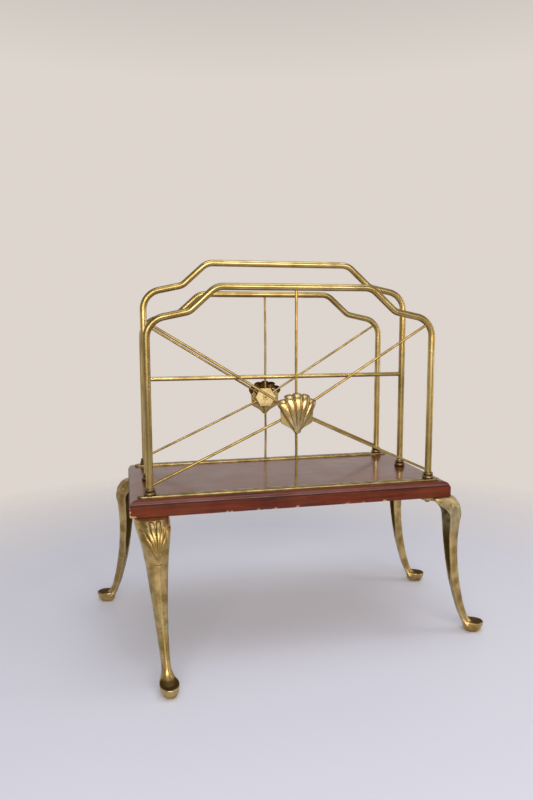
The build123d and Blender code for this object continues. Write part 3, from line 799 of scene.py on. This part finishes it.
def hoop_outline(hoop):
    """Centreline of a hoop from left foot to right foot, as (x, z)."""
    top, foot, reach = RAIL[hoop], FOOT[hoop], POST_REACH
    half = [
        (reach, foot, 0.0), (reach, top - SHOULDER_DROP, BENDS[0]),
        (reach - SLOPE_FOOT, top - STEP_DROP, BENDS[1]), (reach - SLOPE_HEAD, top, BENDS[2]),
    ]
    return rounded([(-x, z, r) for x, z, r in half] + half[::-1])


def divided(points, longest):
    """Points with long runs cut shorter, so that a tube's faces stay even."""
    result = [points[0]]
    for a, b in zip(points, points[1:]):
        parts = max(math.ceil(math.dist(a, b) / longest), 1)
        for i in range(1, parts + 1):
            result.append(tuple(a[c] + (b[c] - a[c]) * i / parts for c in range(len(a))))
    return result


def make_hoop(hoop, finish, tree):
    """Bent tube; the bends are a touch flattened, as hand bending leaves them."""
    y = POSTS[hoop, "left"].y
    path = [(DECK.x + x, y, z) for x, z in divided(hoop_outline(hoop), 6.0)]
    made = tube(hoop + "_bent_tube", path, TUBE, 40, finish, tree)
    for vertex in made.data.vertices:
        x, _, z = vertex.co / MM
        bend = math.exp(-((abs(x - DECK.x) - POST_REACH + SLOPE_HEAD) / 9.0) ** 2)
        bend += math.exp(-((abs(x - DECK.x) - POST_REACH + SLOPE_FOOT) / 8.0) ** 2)
        vertex.co.y += (vertex.co.y - y * MM) * 0.05 * bend
    return made


def wire_ends(hoop):
    """Start and end of each wire as (x, z), by name, read from the wires' boxes."""
    ends = {}
    for wire in ("top", "bottom", "upper_left", "upper_right", "lower_left", "lower_right"):
        low, high = box_mm(f"{hoop}_spoke_{wire}")
        if wire in ("top", "bottom"):
            z_ends = (low.z, high.z)[::1 if wire == "top" else -1]
            ends[wire] = tuple((DECK.x, z) for z in z_ends)
            continue
        width, height = high.x - low.x, high.z - low.z
        slant = math.atan2(height, width)
        trim_x, trim_z = WIRE * math.sin(slant), WIRE * math.cos(slant)
        x_ends = (low.x + trim_x, high.x - trim_x)[::-1 if "left" in wire else 1]
        z_ends = (low.z + trim_z, high.z - trim_z)[::1 if "upper" in wire else -1]
        ends[wire] = tuple(zip(x_ends, z_ends))
    return ends


WIRE_BOW = 0.45                  # how far the old wires have bowed


def make_wires(hoop, finish, tree):
    """Six wires of a hoop, each bowed a little its own way."""
    y = POSTS[hoop, "left"].y
    made = []
    for k, (wire, (start, end)) in enumerate(wire_ends(hoop).items()):
        path = []
        for i in range(25):
            t = i / 24
            bow = WIRE_BOW * math.sin(math.pi * t) ** 2 * math.sin(2.1 * k + 1.3 * len(hoop))
            along = Vector((end[0] - start[0], end[1] - start[1])).normalized()
            x = start[0] + (end[0] - start[0]) * t - along.y * bow
            z = start[1] + (end[1] - start[1]) * t + along.x * bow
            path.append((x, y, z))
        piece = tube(f"{hoop}_wire_{wire}", path, WIRE, 20, finish, tree)
        made.append((piece, f"{hoop}_spoke_{wire}"))
    return made


# ---------------------------------------------------------------- scallop shells
SHELL_RIM = 2.0                  # wire plane to the shell's back edge
SHELL_RISE = 11.0
HINGE = -26.0                    # where the ribs' lines would meet, below the hub's axis
TIP = -20.2                      # middle of the round tip that they run into
TIP_SIZE = (4.5, 3.7)            # its half-width and half-height
# share of the tip's size, height above the wire plane
TIP_PROFILE = [(0.85, SHELL_RIM), (1.0, 3.2), (1.0, 6.2), (0.93, 7.4), (0.75, 8.4), (0.4, 9.0)]
# rib's bearing, reach from the hinge, half-angle
RIBS = [(0.0, 49.0, 6.6), (13.0, 48.4, 6.4), (26.3, 45.6, 7.4)]
SHELL_EDGE = 33.4                # bearing of the outer edge of the outer ribs
FAN_START = 0.13                 # the ribs begin at this share of their reach
EARS = [(19.6, 3.0), (18.4, -11.8), (8.3, -17.4), (3.2, -22.0)]
SHELL_WALL = 2.0
SHELL_BOSS = 9.0                 # radius of the boss that takes the screw and the wires' ends
SEAT_CLEARANCE = 0.1             # round each wire in the boss
HOLLOW = [(-1.5, -17.0), (1.5, -17.0), (11.5, 0.0), (13.5, 8.0), (9.0, 13.0),
          (-9.0, 13.0), (-13.5, 8.0), (-11.5, 0.0)]      # open back, under the ribs


def rib_at(bearing):
    """Which rib a bearing is on: (share across it from -1 to 1, reach, half-angle)."""
    side = abs(bearing)
    middle, reach, half = min(RIBS, key=lambda rib: abs(side - rib[0]) / rib[2])
    return (side - middle) / half, reach, half


def shell_reach(bearing):
    """Distance from the hinge to the shell's scalloped edge."""
    across, reach, _ = rib_at(bearing)
    dome = math.sqrt(max(1 - min(abs(across), 1.0) ** 2, 0.0))
    return reach - 2.0 * (1 - dome) - 3.4 * ease(abs(bearing), 29.0, 34.4)


def shell_height(bearing, share):
    """Height of the outside of the shell above the wire plane."""
    across, reach, half = rib_at(bearing)
    distance = share * reach
    if share < 0.5:
        swell = 0.5 + 0.5 * math.sin(math.pi * share) ** 0.9
    else:
        swell = max(1 - ((share - 0.5) / 0.5) ** 3.0, 0.0) ** 0.5
    fall = 1 - 0.42 * (abs(bearing) / SHELL_EDGE) ** 2
    base = (SHELL_RISE - 2.6) * swell * fall
    round_rib = math.sqrt(max(1 - min(abs(across), 1.0) ** 3.2, 0.0))
    depth = min(0.85 * distance * math.radians(half), 3.0) * min(swell * 1.4, 1.0)
    edge = ease(SHELL_EDGE - abs(bearing), 0.0, 2.0)
    return SHELL_RIM + 0.6 + base * (0.6 + 0.4 * edge) + depth * (round_rib - 0.3) * (0.4 + 0.6 * edge)


def rib_fan():
    """The ribbed fan as a closed wall that follows its own hollow back."""
    bearings = [SHELL_EDGE * (i / 120 * 2 - 1) for i in range(121)]
    shares = [FAN_START + (1 - FAN_START) * i / 44 for i in range(45)]
    outside, inside = [], []
    for bearing in bearings:
        turn = math.radians(bearing)
        reach = shell_reach(bearing)
        for share in shares:
            r = share * reach
            x, y = r * math.sin(turn), HINGE + r * math.cos(turn)
            z = max(shell_height(bearing, share), SHELL_RIM + 0.9)
            outside.append((x, y, z))
            inside.append((x, y, max(min(z - SHELL_WALL, z * 0.78), SHELL_RIM)))
    rows, columns = len(bearings), len(shares)
    total = rows * columns
    faces = []
    for i in range(rows - 1):
        for j in range(columns - 1):
            a = i * columns + j
            b, c, d = a + 1, a + columns + 1, a + columns
            faces.append((a, b, c, d))
            faces.append((total + d, total + c, total + b, total + a))
    border = [(0, j) for j in range(columns)] + [(i, columns - 1) for i in range(1, rows)]
    border += [(rows - 1, j) for j in range(columns - 2, -1, -1)] + [(i, 0) for i in range(rows - 2, 0, -1)]
    for (i, j), (k, l) in zip(border, border[1:] + border[:1]):
        a, b = i * columns + j, k * columns + l
        faces.append((b, a, total + a, total + b))
    fan = new_object("rib_fan", outside + inside, faces)
    point_outwards(fan.data)
    return fan


def ear_ring(grow, height):
    """Outline of the flat ears behind the ribs."""
    points = [(x + grow * 0.7, y - grow * 0.4) for x, y in EARS]
    ring = points + [(0.0, TIP - 2.8 - grow)] + [(-x, y) for x, y in reversed(points)]
    ring += [(-14.0, 12.0), (14.0, 12.0)]
    return [(x, y, height) for x, y in ring]


def cast_shell(hoop):
    """Shell about its hub: +Z away from the magazines, +Y up."""
    ears = loft("ears", [ear_ring(-0.5, SHELL_RIM), ear_ring(0.0, SHELL_RIM + 0.5),
                         ear_ring(0.0, SHELL_RIM + 1.8), ear_ring(-0.5, SHELL_RIM + 2.3)])
    hollow = loft("hollow", [[(x, y, z) for x, y in HOLLOW] for z in (SHELL_RIM - 3, SHELL_RIM + 4.5)])
    ears = cut_or_join(ears, [hollow], "DIFFERENCE")
    boss = round_bar("boss", (0, 0), SHELL_BOSS, 0.1, SHELL_RISE - 1.5, 56)
    wide, high = TIP_SIZE
    bead = loft("tip_bead", [
        [(wide * share * math.cos(t), TIP + high * share * math.sin(t), z) for t in turns_of(24)]
        for share, z in TIP_PROFILE
    ])
    shell = cut_or_join(rib_fan(), [ears, boss, bead], "UNION")
    hole = round_bar("hole", (0, 0), SCREW_SHANK + SLIP, -1.0, 8.1, 24)
    seats = []
    seat_radius = WIRE + SEAT_CLEARANCE
    for start, end in wire_ends(hoop).values():
        a = Vector((start[0] - HUBS[hoop].x, start[1] - HUBS[hoop].z, 0.0))
        b = Vector((end[0] - HUBS[hoop].x, end[1] - HUBS[hoop].z, 0.0))
        along = (b - a).normalized()
        side = Vector((-along.y, along.x, 0.0)) * seat_radius
        up = Vector((0, 0, seat_radius))
        seats.append(loft("wire_seat", [
            [tuple(at + side * math.cos(t) + up * math.sin(t)) for t in turns_of(20)]
            for at in (a - along * 0.5, a + along * 30.0)
        ]))
    if hoop == "rear":
        for seat in seats:
            for vertex in seat.data.vertices:
                vertex.co.x = -vertex.co.x
            point_outwards(seat.data)
    shell = cut_or_join(shell, [hole, *seats], "DIFFERENCE")
    shell = cast_skin(shell, 0.34, 2)
    # painted shade and grime on the shell's back faces, which turn towards the plate
    write_shade_and_grime(shell, lambda vertex: 0.42 * ease(-vertex.normal.z, 0.1, 0.5))
    return shell


def make_shell(hoop):
    """Shell in its place on a hoop's hub."""
    shell = cast_shell(hoop)
    outward = -1 if hoop == "front" else 1
    y = POSTS[hoop, "left"].y
    for vertex in shell.data.vertices:
        a, b, c = vertex.co / MM
        vertex.co = Vector((HUBS[hoop].x - outward * a, y + outward * c, HUBS[hoop].z + b)) * MM
    shell.name = hoop + "_scallop"
    return shell


PLATE_RING = (4.4, 3.4, 0.8)     # groove round the screw: outer and inner radius, depth


def make_hub_plate(hoop):
    """Six-sided plate with softened edges and a ring sunk round its screw."""
    low, high = box_mm(hoop + "_hub_plate")
    middle, y = (low + high) / 2, (low.y, high.y)
    corner = (high.x - low.x) / 2
    face, back = (y[0], y[1]) if hoop == "rear" else (y[1], y[0])
    inward = 1 if back > face else -1
    rings = []
    for inset, at in ((0.9, face), (0.35, face + 0.2 * inward), (0.0, face + 0.7 * inward), (0.0, back)):
        ring = []
        for i in range(6):
            for k in range(5):
                turn = math.radians(60 * i + 3.2 * (k - 2))
                reach = (corner - inset) / (1 + 0.6 * abs(math.sin(math.radians(3.2 * (k - 2)))))
                ring.append((middle.x + reach * math.cos(turn), at, middle.z + reach * math.sin(turn)))
        rings.append(ring)
    plate = loft("plate", rings)
    outer, inner, depth = PLATE_RING
    groove, core, hole = (
        along_y(name, HUBS[hoop], radius, start, end)
        for name, radius, start, end in (
            ("groove", outer, face - inward, face + depth * inward),
            ("core", inner, face - 2 * inward, face + 2 * inward),
            ("hole", SCREW_SHANK + SLIP, face - 2 * inward, back + 2 * inward),
        )
    )
    groove = cut_or_join(groove, [core], "DIFFERENCE")
    plate = cut_or_join(plate, [groove, hole], "DIFFERENCE")
    # painted shade in the sunk ring and on the plate's sides and back
    write_shade_and_grime(plate, lambda vertex: float((vertex.co.y / MM - face) * inward > 0.5 * depth))
    plate.name = hoop + "_sand_textured_plate"
    return plate


def along_y(name, centre, radius, start, end):
    """Round bar along Y."""
    bar = round_bar(name, (0, 0), radius, min(start, end), max(start, end), 48)
    for vertex in bar.data.vertices:
        x, y, z = vertex.co
        vertex.co = Vector((x + centre.x * MM, z, centre.z * MM - y))
    return bar


# ---------------------------------------------------------------- strips and bolts
STRIP_HALF = 6.0                 # half-width, and radius of the round ends


def make_strip(hoop):
    """Flat strip with round ends and softened edges, drilled for bolts and wire."""
    low, high = box_mm(hoop + "_base_strip")
    middle, y = (low.x + high.x) / 2, (low.y + high.y) / 2
    half = (high.x - low.x) / 2 - STRIP_HALF

    def ring(inset, z):
        """Outline of the strip, drawn in by an inset."""
        points = []
        for sign in (1, -1):
            for i in range(25):
                turn = math.radians(-90 + 180 * i / 24) + (0 if sign > 0 else math.pi)
                points.append((sign * half + (STRIP_HALF - inset) * math.cos(turn),
                               (STRIP_HALF - inset) * math.sin(turn)))
        even = divided(points + points[:1], 6.0)[:-1]
        return [(middle + px, y + py, z) for px, py in even]

    strip = loft("strip", [ring(0.35, low.z), ring(0.0, low.z + 0.3), ring(0.0, high.z - 0.45),
                           ring(0.15, high.z - 0.15), ring(0.5, high.z)])
    cutters = [
        round_bar("bolt_hole", POSTS[hoop, side], BOLT_SHANK + SLIP, low.z - 1, high.z + 1, 24)
        for side in SIDES
    ]
    cutters.append(round_bar("wire_hole", (HUBS[hoop].x, y), WIRE + SLIP, low.z - 1, high.z + 1, 20))
    strip = cut_or_join(strip, cutters, "DIFFERENCE")
    strip.name = hoop + "_strip"
    return strip


BOLT_HEAD = 4.0                  # radius of the head
BOLT_RISE = 3.6                  # and its height
BOLT_SLOT = (0.5, 1.1)           # half-width and depth


def bolt_pattern(length):
    """One slotted round-headed bolt, head down, its bearing face at Z = 0."""
    ball = (BOLT_HEAD ** 2 + BOLT_RISE ** 2) / (2 * BOLT_RISE)
    profile = []
    for i in range(9):
        z = -BOLT_RISE * (1 - (i / 8) ** 1.6)
        depth = ball - (z + BOLT_RISE)
        profile.append((max(math.sqrt(max(ball ** 2 - depth ** 2, 0.0)), 0.3), z))
    profile += [(BOLT_HEAD - 0.2, 0.0), (BOLT_SHANK, 0.0)]
    profile += [(BOLT_SHANK, length - 0.5), (BOLT_SHANK - 0.5, length)]
    turns = turns_of(36)
    bolt = loft("bolt_pattern", [
        [(radius * math.cos(t), radius * math.sin(t), z) for t in turns] for radius, z in profile
    ])
    half, slot_depth = BOLT_SLOT
    slot = loft("slot", [[(x, y, z) for x, y in ((-6, -half), (6, -half), (6, half), (-6, half))]
                         for z in (-BOLT_RISE - 1, -BOLT_RISE + slot_depth)])
    return cut_or_join(bolt, [slot], "DIFFERENCE")


def scatter_tree():
    """Geometry Nodes: one pattern repeated at each point, turned by the point's own angle."""
    inputs = {"Points": "Geometry", "Pattern": "Object", "Finish": "Material"}
    tree, given = open_tree("repeat_at_points", inputs, "Copies")
    pattern = add(tree, "GeometryNodeObjectInfo", None, {"Object": given["Pattern"]}).outputs["Geometry"]
    angle = add(tree, "GeometryNodeInputNamedAttribute", {"data_type": "FLOAT", "Name": "turn"})
    turned = add(tree, "ShaderNodeCombineXYZ", None, {"Z": angle.outputs["Attribute"]}).outputs[0]
    spin = add(tree, "FunctionNodeEulerToRotation", None, {"Euler": turned}).outputs[0]
    placed = add(tree, "GeometryNodeInstanceOnPoints", None,
                 {"Points": given["Points"], "Instance": pattern, "Rotation": spin}).outputs[0]
    return close_tree(tree, placed, given["Finish"], "Copies")


def repeat(name, pattern, places, turns, finish, tree):
    """A pattern at each place, as one mesh."""
    host = new_object(name, places, [])
    angles = host.data.attributes.new("turn", "FLOAT", "POINT")
    angles.data.foreach_set("value", [math.radians(t) for t in turns])
    made = run_tree(host, tree, {"Pattern": pattern, "Finish": finish})
    bpy.data.objects.remove(pattern)
    return made


# ---------------------------------------------------------------- finishes
# middle of the marks, how far they spread, size, detail and reach of their mottle, tint, share
LEG_MARKS = [
    # turquoise specks down the front left leg
    (leg_point("leg_front_left", 46.0, 2.0, 112.0), 46.0, 2.6, 1.0, (0.685, 0.72), "#7CC4A4", 1.0),
    # dark pits among the specks
    (leg_point("leg_front_left", 46.0, 0.0, 120.0), 60.0, 1.7, 1.0, (0.66, 0.70), "#2E2410", 0.9),
    # grey-green knee of the front right leg, where the lacquer has gone
    (leg_point("leg_front_right", 38.0, 0.0, 12.0), 46.0, 9.0, 4.0, (0.36, 0.56), "#B4B49C", 0.55),
]
LEFT_CREST = (DECK.x - POST_REACH + SLOPE_HEAD, POSTS["front", "left"].y, RAIL["front"] + 2.5)
HOOP_MARKS = [(LEFT_CREST, 6.5, 3.0, 3.0, (0.42, 0.6), "#4C8070", 0.9)]      # one turquoise patch

wood = lacquered_wood("stained_hardwood_lacquered")
# sand-cast brass, lacquer mostly gone: dull olive gold, bright ribs, painted shade in the grooves, turquoise
# specks
cast_brass = brass(
    "cast_brass_aged", "#C9AE76", "#967C44", "#4A3818", 0.32, 14.0, 0.35, hollow_shade=0.9, lumps=0.12, grit=0.008,
    marks=LEG_MARKS)
# finely cast brass that hands have rubbed: pale gold ribs with painted shade in the lines between
shell_brass = brass(
    "cast_brass_rubbed", "#DEC792", "#B89C66", "#5E4826", 0.28, 9.0, 0.2, hollow_shade=1.0, lumps=0.05)
# drawn tube under old lacquer: smooth satin gold, clouded brown, one green spot
tube_brass = brass(
    "drawn_brass_tube_lacquered", "#CFB77C", "#A88F54", "#5C4822", 0.28, 26.0, 0.15, lumps=0.004, grit=0.0,
    marks=HOOP_MARKS)
# drawn wire: smooth, a little browner than the tube
wire_brass = brass(
    "drawn_brass_wire", "#C6AA68", "#A08448", "#5A4420", 0.3, 16.0, 0.15, lumps=0.002, grit=0.0)
# cast plate with its sandy skin left on: pale, matt and finely pitted
plate_brass = brass(
    "sand_textured_bright_brass", "#FBE6B0", "#F1D493", "#BF9A55", 0.55, 1.6, 0.25, lumps=0.02, grit=0.02,
    metallic=0.3)
# turned rings with dirt in the turning: dark brown with a soft glint
collar_brass = brass(
    "turned_brass_tarnished", "#8E7850", "#655238", "#2A2010", 0.34, 4.0, 0.6, 0.9, 0.01)
# rolled flat strip, never polished: grey-gold with brown blotches
strip_brass = brass(
    "rolled_brass_strip_tarnished", "#AE9A68", "#857349", "#4A3F22", 0.34, 10.0, 0.5, 0.0, 0.01)
# heat-blackened steel bolts and washers: near black, dull
steel = brass("blackened_steel", "#6B6252", "#4A4032", "#1E1912", 0.42, 5.0, 0.7)

# ---------------------------------------------------------------- making
tube_tree = bent_tube_tree()
copies_tree = scatter_tree()

hand_over(make_deck(), wood, ["base_board"], 32)

casting = cast_leg()
for leg_name in LEGS:
    hand_over(place_leg(casting, leg_name), cast_brass, [leg_name], 60)
bpy.data.objects.remove(casting)

for hoop in HOOPS:
    hand_over(make_hoop(hoop, tube_brass, tube_tree), tube_brass, [hoop + "_hoop"])
rod_low, rod_high = box_mm("middle_cross_rod")
rod_path = [(x, POSTS["middle", "left"].y, (rod_low.z + rod_high.z) / 2) for x in (rod_low.x, rod_high.x)]
rod = tube("cross_rod", divided(rod_path, 8.0), ROD, 32, tube_brass, tube_tree)
hand_over(rod, tube_brass, ["middle_cross_rod"])

for hoop in ("front", "rear"):
    for piece, node in make_wires(hoop, wire_brass, tube_tree):
        hand_over(piece, wire_brass, [node])
    hand_over(make_shell(hoop), shell_brass, [hoop + "_shell"], 60)
    hand_over(make_hub_plate(hoop), plate_brass, [hoop + "_hub_plate"], 30)
    hand_over(make_strip(hoop), strip_brass, [hoop + "_base_strip"], 30)

SLOT_TURNS = {"leg_bolts": (20, 75, 140, 50), "middle_bolts": (10, 115)}     # degrees, one for each bolt
for node, turns in SLOT_TURNS.items():
    hoops = ("middle",) if node == "middle_bolts" else ("front", "rear")
    low, high = box_mm(node)
    bearing = low.z + BOLT_RISE
    places = [(*POSTS[hoop, side].xy, bearing) for hoop in hoops for side in SIDES]
    bolts = repeat(node[:-1] + "_set", bolt_pattern(high.z - bearing), places, turns, steel, copies_tree)
    hand_over(bolts, steel, [node], 30)

kept = {"middle_washers": steel, "hoop_plugs": tube_brass}
for hoop in ("front", "rear"):
    kept[hoop + "_hub_screw"] = tube_brass
for hoop, side in POSTS:
    kept[f"collar_{hoop}_{side}"] = collar_brass
for node, finish in kept.items():
    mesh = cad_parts[node].data
    mesh.materials.clear()
    mesh.materials.append(finish)

# ---------------------------------------------------------------- floor, light and camera
FLOOR_SOLID = 0.42               # radius of the floor in metres, before it fades out
FLOOR_END = 0.9


def floor_finish():
    """Smooth pale painted board that fades into the backdrop with distance."""
    material, tree, place = start_material("pale_painted_board")
    gap = add(tree, "ShaderNodeVectorMath", {"operation": "LENGTH"}, {0: place}).outputs["Value"]
    settings = {"From Min": FLOOR_SOLID, "From Max": FLOOR_END}
    fade = add(tree, "ShaderNodeMapRange", settings, {"Value": gap}).outputs[0]
    below = add(tree, "ShaderNodeNewGeometry").outputs["Backfacing"]
    fade = add(tree, "ShaderNodeMath", {"operation": "MAXIMUM"}, {0: fade, 1: below}).outputs[0]
    board = add(tree, "ShaderNodeBsdfPrincipled", {"Base Color": linear("#E3E7F6"), "Roughness": 0.42})
    clear = add(tree, "ShaderNodeBsdfTransparent")
    mixed = add(tree, "ShaderNodeMixShader", None, {0: fade, 1: board.outputs[0], 2: clear.outputs[0]})
    add(tree, "ShaderNodeOutputMaterial", None, {"Surface": mixed.outputs[0]})
    return material


def make_floor():
    """Round floor under the rack."""
    rim = [(FLOOR_END / MM * math.cos(t), FLOOR_END / MM * math.sin(t), -0.05) for t in turns_of(96)]
    floor = new_object("floor", rim, [tuple(range(len(rim)))])
    floor.data.materials.append(floor_finish())


def make_light(name, place, aim, size, power, colour):
    """Soft rectangular light at a place in metres, aimed at a point."""
    lamp = bpy.data.lights.new(name, "AREA")
    lamp.shape = "RECTANGLE"
    lamp.size, lamp.size_y = size
    lamp.energy = power
    lamp.color = linear(colour)[:3]
    obj = bpy.data.objects.new(name, lamp)
    bpy.context.scene.collection.objects.link(obj)
    obj.location = place
    obj.rotation_euler = (Vector(aim) - Vector(place)).to_track_quat("-Z", "Y").to_euler()


def make_world():
    """Pale room: light behind the rack, darker on the viewer's side and overhead."""
    world = bpy.data.worlds.new("pale_room")
    world.use_nodes = True
    tree = world.node_tree
    tree.nodes.clear()
    direction = add(tree, "ShaderNodeTexCoord").outputs["Generated"]
    parts = add(tree, "ShaderNodeSeparateXYZ", None, {"Vector": direction}).outputs
    colour = layered(tree, "#8A857F", [
        (parts["Y"], -0.8, 0.6, "#DDD5CE", 1.0),
        (parts["Z"], 0.35, 0.8, "#74706C", 1.0),
    ])
    shade = add(tree, "ShaderNodeBackground", {"Strength": 1.0}, {"Color": colour})
    add(tree, "ShaderNodeOutputWorld", None, {"Surface": shade.outputs[0]})
    bpy.context.scene.world = world


CAMERA_FROM_DECK = (-188.4, -761.7, 204.6)   # from the middle of the deck's underside
CAMERA_YAW = 12.72                           # towards +X, degrees
CAMERA_PITCH = 6.68                          # downwards
CAMERA_ROLL = 0.20
CAMERA_LENS = 27.91


def make_camera():
    """Camera at eye level over the table, a little left of the rack."""
    data = bpy.data.cameras.new("camera")
    data.lens = CAMERA_LENS
    data.sensor_width = 36.0
    data.clip_start, data.clip_end = 0.01, 50.0
    obj = bpy.data.objects.new("camera", data)
    bpy.context.scene.collection.objects.link(obj)
    off = Vector(CAMERA_FROM_DECK)
    obj.location = Vector((DECK.x + off.x, DECK.y + off.y, UNDER + off.z)) * MM
    yaw, pitch, roll = (math.radians(a) for a in (CAMERA_YAW, CAMERA_PITCH, CAMERA_ROLL))
    turn = Matrix.Rotation(-yaw, 4, "Z") @ Matrix.Rotation(math.pi / 2 - pitch, 4, "X")
    obj.rotation_euler = (turn @ Matrix.Rotation(-roll, 4, "Z")).to_euler()
    bpy.context.scene.camera = obj


make_floor()
make_world()
make_light("window_behind_viewer", (-0.15, -1.75, 0.75), (0, 0, 0.25), (2.0, 0.55), 27.0, "#FFF8EE")
make_light("sky_above", (0.1, -0.2, 1.6), (0, 0, 0.2), (1.3, 0.9), 9.0, "#EEF2FF")
make_light("room_right", (1.3, -0.3, 0.55), (0, 0, 0.25), (0.35, 0.9), 2.5, "#FFEBD2")
make_camera()
bpy.context.scene.view_settings.view_transform = "Standard"
